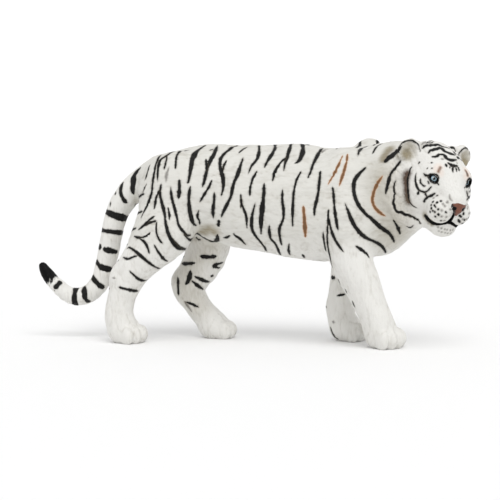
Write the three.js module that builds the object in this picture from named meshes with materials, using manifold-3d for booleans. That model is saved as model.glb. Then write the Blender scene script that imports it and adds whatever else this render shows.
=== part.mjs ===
// A moulded toy tiger in mid-stride, with its head turned to its right and its tail hanging clear.
// Millimetres. +X points to the chest, +Y to the animal's left and +Z up; the soles stand on z = 0.
// The body is one rounded field of cones and balls. It is turned into a mesh, thinned to large
// facets and then parted by thin cuts into the pieces that a person would name.
import * as THREE from 'three';
import { mergeVertices } from 'three/addons/utils/BufferGeometryUtils.js';
import Module from 'manifold-3d';

const wasm = await Module();
wasm.setup();

// ---- Driving sizes -------------------------------------------------------------------------
// The surface is drawn through samples of the field: wide apart on the body, close on the small forms.
const BODY_GRID = { low: [-80, -26, -6], high: [66, 24, 74], step: 1.25 };
const HEAD_GRID = { low: [42, -34, 30], high: [80, 12, 74], step: 0.65 };
const PAW_GRID = { low: [-52, -20, -5], high: [58, 18, 12], step: 0.7 };
const GAP = 0.3;                      // clear width of every parting cut
// Facets left on each piece.
const FACETS = {
  trunk: 1100, neck: 420, head: 2100, jaw: 260, nose: 90, ear_right: 230, ear_left: 230,
  tail_base: 220, tail_middle: 220, tail_tip: 200, hindleg: 420, foreleg: 380, hindpaw: 420, forepaw: 420,
};
const EYE_SEGMENTS = [18, 12];

const SPINE_HEIGHT = 49.1;            // middle of the rib cage above the floor
const HIP = [-26.5, 8, 49.5];         // left hip of a square stance; the stride moves each a little
const HEAD_CENTRE = [61.9, -10.6, 55.5];
const HEAD_TURN = -57;                // degrees, to the animal's right
const HEAD_NOD = 11;                  // nose down
const HEAD_TILT = -6.8;               // left ear down
const EYE_PLACE = [8.2, 5.7, 1.9];    // in the head's own frame
const EYE_RADIUS = 1.95;
const EYE_SLANT = 24;                 // degrees that the lids turn outwards, and slope down to the nose
const LID_RADII = [2.9, 3.1, 2.5];
const EAR_LEAN = 31;                  // degrees that the ears lean out from upright
const EAR_TURN = 20;
const SOLE_SNAP = 0.15;               // points this close to the floor are set on it
const PAW_CUT = 8.6;                  // height of the cut at the wrists and ankles
const LEG_SLOPE = 34;                 // degrees that the cuts above the legs rise outwards
const NARROW = [0, 1, 0];             // the direction in which the trunk is narrower than tall

// ---- Small vector tools --------------------------------------------------------------------
const radians = (degrees) => degrees * Math.PI / 180;
const add = (a, b) => [a[0] + b[0], a[1] + b[1], a[2] + b[2]];
const minus = (a, b) => [a[0] - b[0], a[1] - b[1], a[2] - b[2]];
const times = (a, k) => [a[0] * k, a[1] * k, a[2] * k];
const dot = (a, b) => a[0] * b[0] + a[1] * b[1] + a[2] * b[2];
const cross = (a, b) => [
  a[1] * b[2] - a[2] * b[1],
  a[2] * b[0] - a[0] * b[2],
  a[0] * b[1] - a[1] * b[0],
];
const turnX = (degrees) => new THREE.Matrix4().makeRotationX(radians(degrees));
const turnY = (degrees) => new THREE.Matrix4().makeRotationY(radians(degrees));
const turnZ = (degrees) => new THREE.Matrix4().makeRotationZ(radians(degrees));
const chainTurns = (...turns) => turns.reduce((all, turn) => all.multiply(turn), new THREE.Matrix4());
const through = (matrix, p) => new THREE.Vector3(...p).applyMatrix4(matrix).toArray();

// ---- The two shapes that the body is modelled from -----------------------------------------
// A cone runs from a to b with round ends of radius ra and rb. side and width stretch it across.
function cone(a, b, ra, rb, blend, side = null, width = 1) {
  const squeeze = (p) => (side ? add(p, times(side, dot(p, side) * (1 / width - 1))) : p);
  const axis = squeeze(minus(b, a));
  const length2 = Math.max(dot(axis, axis), 1e-9);
  const reach = Math.max(ra, rb) * Math.max(1, width);
  const distance = (x, y, z) => {
    const p = squeeze([x - a[0], y - a[1], z - a[2]]);
    const t = Math.min(1, Math.max(0, dot(p, axis) / length2));
    const away = Math.hypot(p[0] - axis[0] * t, p[1] - axis[1] * t, p[2] - axis[2] * t);
    return (away - ra - (rb - ra) * t) * Math.min(1, width);
  };
  const low = [0, 1, 2].map((i) => Math.min(a[i], b[i]) - reach);
  const high = [0, 1, 2].map((i) => Math.max(a[i], b[i]) + reach);
  return { distance, low, high, blend };
}

// A ball has three radii, along the turned x, y and z.
function ball(centre, radii, blend, turn = new THREE.Matrix4()) {
  const back = turn.clone().invert().elements;
  const reach = Math.max(...radii);
  const distance = (x, y, z) => {
    const p = [x - centre[0], y - centre[1], z - centre[2]];
    let near = 0;
    let steep = 0;
    for (let i = 0; i < 3; i += 1) {
      const along = back[i] * p[0] + back[i + 4] * p[1] + back[i + 8] * p[2];
      near += (along / radii[i]) ** 2;
      steep += (along / radii[i] ** 2) ** 2;
    }
    near = Math.sqrt(near);
    return near * (near - 1) / Math.max(Math.sqrt(steep), 1e-6);
  };
  const corner = [reach, reach, reach];
  return { distance, low: minus(centre, corner), high: add(centre, corner), blend };
}

// Points are [x, y, z, radius]; the curve through them is drawn as short cones.
function limb(points, blend = 0.6, steps = 3) {
  const at = (i) => new THREE.Vector4(...points[i]);
  const last = points.length - 1;
  const knots = points.map((_, i) => at(i));
  knots.unshift(at(0).multiplyScalar(2).sub(at(1)));
  knots.push(at(last).multiplyScalar(2).sub(at(last - 1)));
  const smooth = [];
  for (let i = 1; i <= last; i += 1) {
    const [a, b, c, d] = knots.slice(i - 1, i + 3);
    for (let s = 0; s < steps; s += 1) {
      const t = s / steps;
      const point = ['x', 'y', 'z', 'w'].map((n) => 0.5 * (2 * b[n] + (c[n] - a[n]) * t
        + (2 * a[n] - 5 * b[n] + 4 * c[n] - d[n]) * t * t + (3 * b[n] - a[n] - 3 * c[n] + d[n]) * t ** 3));
      smooth.push(point);
    }
  }
  smooth.push(points[last]);
  return smooth.slice(1).map((b, i) => cone(smooth[i], b, smooth[i][3], b[3], blend));
}

// ---- Trunk, neck and haunches --------------------------------------------------------------
function trunk() {
  return [
    cone([-3, 0, SPINE_HEIGHT], [14, 0, 48.1], 15.6, 16.7, 6, NARROW, 0.8),       // rib cage
    cone([14, 0, 48.1], [20, 0, 47.5], 16.7, 16.3, 6, NARROW, 0.8),
    cone([20, 0, 47.5], [26, 0, 46.4], 16.3, 16.5, 6, NARROW, 0.8),
    cone([-16, 0, 50.8], [-2, 0, 49.4], 13.6, 15.3, 6, NARROW, 0.76),             // loin
    cone([-28, 0, 52.7], [-15, 0, 52.2], 10.8, 13, 6, NARROW, 0.95),              // pelvis
    cone([30, 0, 45.4], [42.6, -1.5, 42.1], 15.4, 11.7, 6, NARROW, 0.86),         // breast
    ball([31.8, -9, 51.2], [8, 4.8, 14.8], 4.5, turnY(14)),                       // right shoulder blade
    ball([38.4, 8, 55.2], [7.5, 5, 14], 5, turnY(8)),                             // left shoulder blade
  ];
}

function neck() {
  return [
    cone([37, 0, 52], [50, -3.5, 54.6], 14.1, 12, 6, NARROW, 0.86),
    cone([50, -3.5, 54.4], [59, -7, 55.2], 12, 11, 6),
    cone([42, -1, 43], [54, -5, 48.5], 12, 9.2, 6),
  ];
}

function haunches() {
  return [
    [
      ball([HIP[0] + 0.7, -HIP[1], HIP[2]], [10.4, 6.2, 15], 4, turnY(10)),
      ball([-30.4, -9, 37.5], [7.6, 5, 9], 4, turnY(40)),
    ],
    [
      ball([HIP[0] + 5.5, HIP[1], HIP[2]], [11, 6.2, 14], 4, turnY(-14)),
      ball([-16.5, 8.8, 37], [7.5, 5, 8], 4, turnY(-10)),
    ],
  ];
}

// ---- Legs, paws and tail -------------------------------------------------------------------
// Each leg's line runs from inside the trunk to the paw; joint is the bony hock or wrist.
const LEGS = {
  hind_right: {
    line: [[-27, -9.2, 37, 8.6], [-34, -9.4, 30, 6.9], [-38.6, -9.4, 24.3, 5.7], [-41.2, -9.4, 19, 4.8],
      [-42.7, -9.3, 14.5, 4.5], [-43.5, -9.2, 9.5, 4.6], [-42.4, -9, 5.5, 4.9]],
    joint: ball([-43.4, -9.3, 22.6], [2.6, 3.2, 3.4], 3, turnY(20)),
    paw: { sole: [-40.3, -9, 0], turn: -22, length: 13, width: 11, height: 7.5 },
  },
  hind_left: {
    line: [[-16, 9.2, 38, 8.2], [-17.2, 9.2, 28, 7], [-22.9, 8.8, 18.2, 5.5], [-20.9, 8.5, 13, 4.5],
      [-17.6, 8.4, 8.5, 4.3], [-14.5, 8.4, 5.3, 4.5]],
    joint: ball([-25.6, 8.6, 18.6], [2.4, 3, 4], 3, turnY(-25)),
    paw: { sole: [-12.3, 8.4, 0], turn: 0, length: 13, width: 11, height: 7.5 },
  },
  fore_right: {
    line: [[33.6, -9, 44, 8.6], [34.9, -9.4, 30, 6.9], [37.8, -9.4, 23, 6.2], [40.9, -9.4, 16, 5.35],
      [43.2, -9.3, 10.5, 5.1], [44.8, -9.2, 6.5, 5.1]],
    joint: ball([39.6, -9.3, 14.5], [2.4, 3, 3], 2),
    paw: { sole: [46.3, -8.8, 0], turn: -35, length: 13.4, width: 12, height: 8.5 },
  },
  fore_left: {
    line: [[36.5, 8.5, 44, 8.4], [33.6, 8.8, 30, 6.5], [32.2, 8.6, 22, 5.5], [30.6, 8.3, 14, 4.8],
      [30.2, 8.2, 9, 4.6], [31, 8, 6, 4.7]],
    joint: ball([27.9, 8.2, 11.6], [2.4, 3, 3], 2),
    paw: { sole: [33.4, 8, 0], turn: -15, length: 12.8, width: 11.5, height: 8.3 },
  },
};

// Each toe: how far across and along the paw it lies and how thick it is, in the paw's own size.
const TOES = [[-0.34, 0.15, 0.155], [-0.12, 0.235, 0.17], [0.12, 0.235, 0.17], [0.34, 0.15, 0.155]];

function paw({ sole, turn, length, width, height }) {
  const frame = turnZ(turn);
  const place = (x, y, z) => add(sole, through(frame, [x, y, z]));
  const pad = [0.4 * length, 0.44 * width, 0.58 * height];
  const shapes = [ball(place(-0.1 * length, 0, 0.45 * height), pad, 2.5, frame)];
  for (const [across, along, thick] of TOES) {
    const splay = chainTurns(turnZ(turn), turnZ(across * 50));
    const radii = [0.235 * length, thick * width, 0.42 * height];
    shapes.push(ball(place(along * length, across * width, 0.36 * height), radii, 0.9, splay));
  }
  return shapes;
}

// The tail hangs from the rump behind the legs, sweeps back and ends in a raised tip.
const TAIL = [
  [-31, 0, 56, 6.4], [-38.2, 0.5, 53.2, 4.9], [-43, 1, 49, 4.2], [-46.3, 1.5, 44, 3.75],
  [-48, 1.5, 38.5, 3.55], [-49.2, 1.5, 32.3, 3.45], [-50.5, 1.5, 26.7, 3.35], [-52.6, 1.5, 19.8, 3.2],
  [-57, 1, 15.2, 3.05], [-62.8, 0.5, 14.6, 2.8], [-68, 0, 18.4, 2.35], [-71.2, 0, 22.2, 1.95],
  [-72.8, 0, 24.8, 1.4],
];

// ---- Head, in its own frame: x to the nose, y to its left, z to the crown -------------------
const HEAD_TURNED = chainTurns(turnZ(HEAD_TURN), turnY(HEAD_NOD), turnX(HEAD_TILT));
const HEAD_FRAME = new THREE.Matrix4().makeTranslation(...HEAD_CENTRE).multiply(HEAD_TURNED);
const headPoint = (p) => through(HEAD_FRAME, p);
const headBall = (centre, radii, blend, turn = new THREE.Matrix4()) => (
  ball(headPoint(centre), radii, blend, HEAD_TURNED.clone().multiply(turn)));
const headCone = (a, b, ra, rb, blend, width = 1) => (
  cone(headPoint(a), headPoint(b), ra, rb, blend, through(HEAD_TURNED, [0, 1, 0]), width));
const bothSides = (make) => [...make(-1), ...make(1)];

function skull() {
  return [
    headBall([-2.6, 0, 2], [10.6, 9.8, 10.1], 3),
    headBall([4, 0, 3], [6.6, 8, 6.7], 3),                                 // forehead
    headCone([6.2, 0, 2.4], [14.8, 0, -3.6], 4.6, 3.3, 3, 1.15),           // bridge of the nose
    headCone([6.5, 0, -5.4], [10.8, 0, -6.4], 6, 4.1, 2.5, 1.1),           // upper jaw
    headCone([1, 0, -9.6], [10.9, 0, -12.8], 5.4, 3.6, 1, 1.3),            // lower jaw and chin
    ...bothSides((side) => [
      headBall([3.8, side * 6.4, -2.8], [6.2, 4.8, 6.4], 3),               // cheek bone
      headBall([12.4, side * 3.3, -7.5], [4.6, 4, 4.3], 1.2),              // whisker pad
      headBall([7.4, side * 5, 4], [3, 3, 1.9], 2),                        // brow
    ]),
    headBall([16.8, 0, -5.2], [1.5, 2.9, 1.9], 0.8),                       // nose leather
  ];
}

// The long cheek fur stands out as a collar from under the ear to the corner of the jaw.
function ruff(side) {
  const line = [[-2.5, 9.4, 3.6, 2.3], [-3.8, 11, -1, 3.2], [-3.4, 11.2, -7, 3.6], [-1, 9.4, -11.6, 3.4],
    [2.6, 5.6, -13.4, 2.6]];
  return limb(line.map(([x, y, z, radius]) => [...headPoint([x, side * y, z]), radius]));
}

const earTurn = (side) => chainTurns(turnZ(side * EAR_TURN), turnX(side * EAR_LEAN));
const ear = (side) => headBall([-1.8, side * 10.3, 8.1], [1.8, 3.7, 3.5], 1.5, earTurn(side));
// The ear's rim runs on over the crown.
const earRoot = (side) => headCone([-2, side * 5.2, 10.4], [-2, side * 9.6, 11], 1, 1.1, 1.5);
const earHollow = (side) => headBall([-0.3, side * 11, 8.5], [1.6, 2.7, 2.5], 0.8, earTurn(side));
const eyeCentre = (side) => [EYE_PLACE[0], side * EYE_PLACE[1], EYE_PLACE[2]];
const lids = (side) => headBall(minus(eyeCentre(side), [0.2, 0, 0]), LID_RADII, 1.4, turnZ(side * EYE_SLANT));
const lidTurn = (side) => chainTurns(turnZ(side * EYE_SLANT), turnX(side * EYE_SLANT));
const lidOpening = (side) => headBall([10.2, side * 6.2, 1.9], [3, 2.1, 1.2], 0.3, lidTurn(side));

// ---- The field: signed distance to the body, sampled on a grid -----------------------------
const FAR = 50;                       // the field's value where no shape reaches
const MARGIN = 5;                     // how far outside a shape its distance is worked out

const softMin = (a, b, blend) => {
  const near = Math.max(blend - Math.abs(a - b), 0) / blend;
  return Math.min(a, b) - near * near * blend / 4;
};

class Field {
  constructor(low, high, step) {
    this.low = low;
    this.step = step;
    this.size = [0, 1, 2].map((i) => Math.ceil((high[i] - low[i]) / step) + 1);
    this.values = new Float32Array(this.size[0] * this.size[1] * this.size[2]).fill(FAR);
  }

  index(i, j, k) {
    return (i * this.size[1] + j) * this.size[2] + k;
  }

  place(i, j, k) {
    return [this.low[0] + i * this.step, this.low[1] + j * this.step, this.low[2] + k * this.step];
  }

  // Calls visit(index, x, y, z) for each sample in the box around the shapes.
  each(shapes, margin, visit) {
    const from = [0, 1, 2].map((i) => {
      const low = Math.min(...shapes.map((s) => s.low[i])) - margin;
      return Math.max(0, Math.floor((low - this.low[i]) / this.step));
    });
    const to = [0, 1, 2].map((i) => {
      const high = Math.max(...shapes.map((s) => s.high[i])) + margin;
      return Math.min(this.size[i] - 1, Math.ceil((high - this.low[i]) / this.step));
    });
    for (let i = from[0]; i <= to[0]; i += 1) {
      for (let j = from[1]; j <= to[1]; j += 1) {
        for (let k = from[2]; k <= to[2]; k += 1) {
          visit(this.index(i, j, k), ...this.place(i, j, k));
        }
      }
    }
  }

  // Joins the shapes to each other by their own blends, and to the body by the given one.
  join(shapes, blend) {
    const group = new Map();
    for (const shape of shapes) {
      this.each([shape], shape.blend + MARGIN, (index, x, y, z) => {
        group.set(index, softMin(group.get(index) ?? FAR, shape.distance(x, y, z), shape.blend));
      });
    }
    for (const [index, value] of group) {
      this.values[index] = softMin(this.values[index], value, blend);
    }
  }

  // Samples on the border are set outside, so the surface closes there.
  close() {
    const [nx, ny, nz] = this.size;
    for (let i = 0; i < nx; i += 1) {
      for (let j = 0; j < ny; j += 1) {
        for (let k = 0; k < nz; k += 1) {
          const border = i === 0 || j === 0 || k === 0 || i === nx - 1 || j === ny - 1 || k === nz - 1;
          const index = this.index(i, j, k);
          if (border) this.values[index] = Math.max(this.values[index], this.step / 2);
        }
      }
    }
  }

  carve(shape) {
    this.each([shape], shape.blend + MARGIN, (index, x, y, z) => {
      this.values[index] = -softMin(-this.values[index], shape.distance(x, y, z), shape.blend);
    });
  }
}

function bodyField({ low, high, step }) {
  const field = new Field(low, high, step);
  field.join(trunk(), 1);
  field.join(neck(), 4);
  haunches().forEach((side) => field.join(side, 4));
  Object.values(LEGS).forEach((leg) => field.join([...limb(leg.line), leg.joint, ...paw(leg.paw)], 3.5));
  field.join(limb(TAIL), 2);
  [-1, 1].forEach((side) => field.join(ruff(side), 1.5));
  field.join(skull(), 2.5);
  for (const side of [-1, 1]) {
    field.join([ear(side), earRoot(side)], 1.5);
    field.carve(earHollow(side));
    field.join([lids(side)], 1.4);
    field.carve(lidOpening(side));
  }
  field.close();
  return field;
}

// ---- Field to mesh: every grid cube is split into six tetrahedra ----------------------------
const CORNERS = [0, 1, 2, 3, 4, 5, 6, 7].map((c) => [c & 1, (c >> 1) & 1, (c >> 2) & 1]);
const TETRAHEDRA = [[1, 2, 4], [1, 4, 2], [2, 1, 4], [2, 4, 1], [4, 1, 2], [4, 2, 1]]
  .map(([first, second]) => [0, first, first + second, 7]);

function meshOf(field) {
  const points = [];
  const triangles = [];
  const known = new Map();
  const total = field.values.length;
  const crossing = (a, b) => {
    const [p, q] = a.index < b.index ? [a, b] : [b, a];
    const key = p.index * total + q.index;
    if (!known.has(key)) {
      const t = Math.min(0.95, Math.max(0.05, p.value / (p.value - q.value)));
      known.set(key, points.length);
      points.push(add(p.at, times(minus(q.at, p.at), t)));
    }
    return known.get(key);
  };
  const emit = (a, b, c, outward) => {
    const normal = cross(minus(points[b], points[a]), minus(points[c], points[a]));
    triangles.push(dot(normal, outward) > 0 ? [a, b, c] : [a, c, b]);
  };
  const [nx, ny, nz] = field.size;
  for (let i = 0; i < nx - 1; i += 1) {
    for (let j = 0; j < ny - 1; j += 1) {
      for (let k = 0; k < nz - 1; k += 1) {
        const inCube = CORNERS.map((c) => field.index(i + c[0], j + c[1], k + c[2]));
        const below = inCube.filter((index) => field.values[index] < 0).length;
        if (below === 0 || below === 8) continue;
        const corners = CORNERS.map((c, n) => ({
          index: inCube[n], value: field.values[inCube[n]], at: field.place(i + c[0], j + c[1], k + c[2]) }));
        for (const tetrahedron of TETRAHEDRA) {
          const four = tetrahedron.map((c) => corners[c]);
          const inner = four.filter((c) => c.value < 0);
          const outer = four.filter((c) => c.value >= 0);
          if (inner.length === 0 || outer.length === 0) continue;
          const middle = (set) => times(set.reduce((sum, c) => add(sum, c.at), [0, 0, 0]), 1 / set.length);
          const outward = minus(middle(outer), middle(inner));
          if (inner.length === 2) {
            const [a, b, c, d] = [crossing(inner[0], outer[0]), crossing(inner[0], outer[1]),
              crossing(inner[1], outer[1]), crossing(inner[1], outer[0])];
            emit(a, b, c, outward);
            emit(a, c, d, outward);
          } else {
            const lone = inner.length === 1 ? inner[0] : outer[0];
            const rest = inner.length === 1 ? outer : inner;
            emit(crossing(lone, rest[0]), crossing(lone, rest[1]), crossing(lone, rest[2]), outward);
          }
        }
      }
    }
  }
  return { points, triangles };
}

// ---- Thinning: edges whose loss changes the surface least are closed up first ---------------
// A quadric holds the ten numbers of the squared distance to a set of planes.
const quadricOf = (normal, offset, weight) => {
  const [a, b, c] = normal;
  const squares = [a * a, a * b, a * c, a * offset, b * b, b * c, b * offset, c * c, c * offset];
  return [...squares, offset * offset].map((n) => n * weight);
};
const quadricError = (q, [x, y, z]) => (q[0] * x * x + 2 * q[1] * x * y + 2 * q[2] * x * z + 2 * q[3] * x
  + q[4] * y * y + 2 * q[5] * y * z + 2 * q[6] * y + q[7] * z * z + 2 * q[8] * z + q[9]);

class Heap {
  constructor() {
    this.items = [];
  }

  push(item) {
    const { items } = this;
    items.push(item);
    let i = items.length - 1;
    while (i > 0) {
      const parent = (i - 1) >> 1;
      if (items[parent].cost <= items[i].cost) break;
      [items[parent], items[i]] = [items[i], items[parent]];
      i = parent;
    }
  }

  pop() {
    const { items } = this;
    const top = items[0];
    const last = items.pop();
    if (items.length === 0) return top;
    items[0] = last;
    let i = 0;
    for (;;) {
      let least = i;
      for (const child of [2 * i + 1, 2 * i + 2]) {
        if (child < items.length && items[child].cost < items[least].cost) least = child;
      }
      if (least === i) return top;
      [items[least], items[i]] = [items[i], items[least]];
      i = least;
    }
  }
}

function thinned({ points, triangles }, wanted) {
  const faces = triangles.map((t) => [...t]);
  const around = points.map(() => new Set());
  const quadrics = points.map(() => new Array(10).fill(0));
  const stamp = new Uint32Array(points.length);
  faces.forEach((face, f) => {
    const [a, b, c] = face.map((v) => points[v]);
    const normal = cross(minus(b, a), minus(c, a));
    const size = Math.sqrt(dot(normal, normal)) || 1e-12;
    const unit = times(normal, 1 / size);
    const plane = quadricOf(unit, -dot(unit, a), size);
    for (const v of face) {
      around[v].add(f);
      plane.forEach((n, i) => { quadrics[v][i] += n; });
    }
  });
  const heap = new Heap();
  const neighbours = (v) => new Set([...around[v]].flatMap((f) => faces[f]).filter((n) => n !== v));
  const consider = (u, v) => {
    const sum = quadrics[u].map((n, i) => n + quadrics[v][i]);
    const choices = [points[u], points[v], times(add(points[u], points[v]), 0.5)];
    const matrix = new THREE.Matrix3();
    matrix.set(sum[0], sum[1], sum[2], sum[1], sum[4], sum[5], sum[2], sum[5], sum[7]);
    const scale = (sum[0] + sum[4] + sum[7]) / 3;
    if (Math.abs(matrix.determinant()) > 1e-3 * scale ** 3) {
      const best = new THREE.Vector3(-sum[3], -sum[6], -sum[8]).applyMatrix3(matrix.invert()).toArray();
      const reach = minus(points[u], points[v]);
      const away = minus(best, choices[2]);
      if (dot(away, away) < 2 * dot(reach, reach)) choices.push(best);
    }
    let target = choices[0];
    for (const choice of choices) {
      if (quadricError(sum, choice) < quadricError(sum, target)) target = choice;
    }
    const spread = minus(points[u], points[v]);
    const cost = quadricError(sum, target) + 1e-5 * dot(spread, spread);
    heap.push({ cost, u, v, target, sum, stamps: stamp[u] + stamp[v] });
  };
  const keepsFacing = (v, other, target) => [...around[v]].every((f) => {
    const face = faces[f];
    if (face.includes(other)) return true;
    const before = face.map((n) => points[n]);
    const after = face.map((n) => (n === v ? target : points[n]));
    const old = cross(minus(before[1], before[0]), minus(before[2], before[0]));
    const now = cross(minus(after[1], after[0]), minus(after[2], after[0]));
    return dot(old, now) > 0.25 * Math.sqrt(dot(old, old) * dot(now, now)) && dot(now, now) > 1e-6;
  });
  faces.forEach(([a, b, c]) => [[a, b], [b, c], [c, a]].forEach(([u, v]) => u < v && consider(u, v)));
  let left = faces.length;
  while (left > wanted && heap.items.length) {
    const { u, v, target, sum, stamps } = heap.pop();
    if (stamps !== stamp[u] + stamp[v] || !around[u].size || !around[v].size) continue;
    const nearU = neighbours(u);
    const shared = [...neighbours(v)].filter((n) => nearU.has(n));
    const tight = shared.some((n) => around[n].size < 4);
    if (shared.length !== 2 || tight || !keepsFacing(u, v, target) || !keepsFacing(v, u, target)) continue;
    points[u] = target;
    quadrics[u] = sum;
    for (const f of [...around[v]]) {
      if (faces[f].includes(u)) {
        faces[f].forEach((n) => around[n].delete(f));
        faces[f] = null;
        left -= 1;
      } else {
        faces[f] = faces[f].map((n) => (n === v ? u : n));
        around[u].add(f);
      }
    }
    around[v].clear();
    stamp[v] += 1;
    stamp[u] += 1;
    for (const n of neighbours(u)) {
      consider(Math.min(u, n), Math.max(u, n));
    }
  }
  return { points, triangles: faces.filter(Boolean) };
}

// ---- Solids and parting cuts ---------------------------------------------------------------
function solidOf({ points, triangles }) {
  return new wasm.Manifold(new wasm.Mesh({
    numProp: 3,
    vertProperties: new Float32Array(points.flat()),
    triVerts: new Uint32Array(triangles.flat()),
  }));
}

function solidFrom(geometry, matrix) {
  const bare = geometry.clone();
  bare.deleteAttribute('normal');
  bare.deleteAttribute('uv');
  bare.applyMatrix4(matrix);
  const merged = mergeVertices(bare, 1e-5);
  return new wasm.Manifold(new wasm.Mesh({
    numProp: 3,
    vertProperties: new Float32Array(merged.attributes.position.array),
    triVerts: new Uint32Array(merged.index.array),
  }));
}

// A box between two corners of a frame; the function made here grows it on every side when asked.
function box(low, high, frame = new THREE.Matrix4()) {
  const middle = times(add(low, high), 0.5);
  const place = frame.clone().multiply(new THREE.Matrix4().makeTranslation(...middle));
  const size = minus(high, low);
  return (grow = 0) => solidFrom(new THREE.BoxGeometry(...size.map((n) => n + 2 * grow)), place);
}

// An egg-shaped region, made and grown in the same way.
function egg(centre, radii, frame) {
  return (grow = 0) => {
    const place = frame.clone().multiply(new THREE.Matrix4().makeTranslation(...centre));
    place.multiply(new THREE.Matrix4().makeScale(...radii.map((r) => r + grow)));
    return solidFrom(new THREE.SphereGeometry(1, ...EYE_SEGMENTS), place);
  };
}

// The points and triangles of the largest closed shell of a solid, so a cut leaves no crumbs.
function largestShell(solid) {
  const { vertProperties, triVerts } = solid.getMesh();
  const owner = Array.from({ length: vertProperties.length / 3 }, (_, i) => i);
  const find = (v) => {
    let root = v;
    while (owner[root] !== root) root = owner[root];
    owner[v] = root;
    return root;
  };
  for (let i = 0; i < triVerts.length; i += 3) {
    owner[find(triVerts[i])] = find(triVerts[i + 1]);
    owner[find(triVerts[i + 1])] = find(triVerts[i + 2]);
  }
  const shells = new Map();
  for (let i = 0; i < triVerts.length; i += 3) {
    const root = find(triVerts[i]);
    if (!shells.has(root)) shells.set(root, []);
    shells.get(root).push([triVerts[i], triVerts[i + 1], triVerts[i + 2]]);
  }
  const largest = [...shells.values()].reduce((a, b) => (b.length > a.length ? b : a));
  const used = [...new Set(largest.flat())];
  const renumber = new Map(used.map((v, i) => [v, i]));
  const points = used.map((v) => [...vertProperties.slice(3 * v, 3 * v + 3)]);
  return { points, triangles: largest.map((t) => t.map((v) => renumber.get(v))) };
}

// A frame at a point whose x axis points along the given direction.
function frameAlong(point, direction) {
  const turn = new THREE.Quaternion();
  turn.setFromUnitVectors(new THREE.Vector3(1, 0, 0), new THREE.Vector3(...direction).normalize());
  return new THREE.Matrix4().makeRotationFromQuaternion(turn).setPosition(...point);
}

const pieces = {};
// Takes what lies inside the region off a solid as a piece, and returns what is left beyond the gap.
function part(name, solid, region) {
  pieces[name] = solid.intersect(region());
  return solid.subtract(region(GAP));
}

const sidesOf = (name) => [[`${name}_right`, -1], [`${name}_left`, 1]];
const headRegion = box([-7.2, -17, -19.5], [30, 17, 22], HEAD_FRAME);

// Head: its small forms come off first.
let head = solidOf(meshOf(bodyField(HEAD_GRID))).intersect(headRegion());
head = part('nose', head, egg([17.6, 0, -5], [2.3, 3, 2.1], HEAD_FRAME));
head = part('jaw', head, box([4, -9, -24], [20, 9, -11], HEAD_FRAME));
for (const [name, side] of sidesOf('ear')) {
  const foot = new THREE.Matrix4().makeTranslation(-1.8, side * 8.9, 7.4).multiply(turnX(side * EAR_LEAN));
  const [near, far] = side > 0 ? [0, 9] : [-9, 0];
  head = part(name, head, box([-5.5, near, -4.2], [5, far, 6], HEAD_FRAME.clone().multiply(foot)));
}
const eyes = sidesOf('eye').map(([name, side]) => {
  const place = HEAD_FRAME.clone().multiply(new THREE.Matrix4().makeTranslation(...eyeCentre(side)));
  head = head.subtract(solidFrom(new THREE.SphereGeometry(EYE_RADIUS + GAP, ...EYE_SEGMENTS), place));
  return { name, place };
});
pieces.head = head;

// The soles are cut flat on the floor, and the paws come off at the wrists and ankles.
const ground = box([-200, -200, -50], [200, 200, 0])();
const lowest = solidOf(meshOf(bodyField(PAW_GRID))).subtract(ground);
for (const [pawName, leg] of [['forepaw_right', 'fore_right'], ['forepaw_left', 'fore_left'],
  ['hindpaw_right', 'hind_right'], ['hindpaw_left', 'hind_left']]) {
  const [x, y] = LEGS[leg].paw.sole;
  pieces[pawName] = lowest.intersect(box([x - 11, y - 8.5, -1], [x + 11, y + 8.5, PAW_CUT])());
}

let rest = solidOf(meshOf(bodyField(BODY_GRID))).subtract(headRegion(GAP));
rest = rest.subtract(box([-200, -200, -50], [200, 200, PAW_CUT])(GAP));

// The tail comes off in three lengths, from the tip to the root.
const tipFrame = frameAlong([-61.5, 0.6, 15], [-1, 0, 0]);
const middleFrame = frameAlong([-48.6, 1.5, 35.6], [-0.2, 0, -1]);
const baseFrame = frameAlong([-38.4, 0.5, 53], [-0.8, 0.1, -0.6]);
rest = part('tail_tip', rest, box([0, -14, -14], [30, 14, 14], tipFrame));
rest = part('tail_middle', rest, box([0, -5, -30], [40, 5, 7], middleFrame));
rest = part('tail_base', rest, box([0, -9, -12], [24, 9, 9], baseFrame));

// Each leg leaves the trunk on a plane that rises from the groin or the armpit to the flank.
for (const [kind, height, back, front] of [['hindleg', 34.2, -60, -9], ['foreleg', 28, 24, 60]]) {
  for (const [name, side] of sidesOf(kind)) {
    const slope = new THREE.Matrix4().makeTranslation(0, 0, height).multiply(turnX(side * LEG_SLOPE));
    const [near, far] = side > 0 ? [GAP / 2, 40] : [-40, -GAP / 2];
    const below = box([back, -60, -80], [front, 60, 0], slope);
    const beside = box([back, near, -10], [front, far, 80]);
    rest = part(name, rest, (grow) => below(grow).intersect(beside(grow)));
  }
}
const neckFrame = frameAlong([42.5, -1.5, 49], [0.93, -0.18, 0.32]);
rest = part('neck', rest, box([0, -60, -60], [60, 60, 60], neckFrame));
pieces.trunk = rest;

// ---- Materials and scene -------------------------------------------------------------------
const plastic = (name, color, roughness) => (
  new THREE.MeshStandardMaterial({ name, color, roughness, metalness: 0 }));
const coat = plastic('coat_plastic', 0xebeae4, 0.55);
const noseColour = plastic('nose_paint', 0x8a4a34, 0.5);
const eyeColour = plastic('eye_paint', 0xa9c4d2, 0.3);

function meshNamed(name, geometry, material) {
  const mesh = new THREE.Mesh(geometry, material);
  mesh.name = name;
  return mesh;
}

function geometryOf({ points, triangles }) {
  const geometry = new THREE.BufferGeometry();
  geometry.setAttribute('position', new THREE.BufferAttribute(new Float32Array(points.flat()), 3));
  geometry.setIndex(triangles.flat());
  return mergeVertices(geometry, 1e-4);
}

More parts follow.
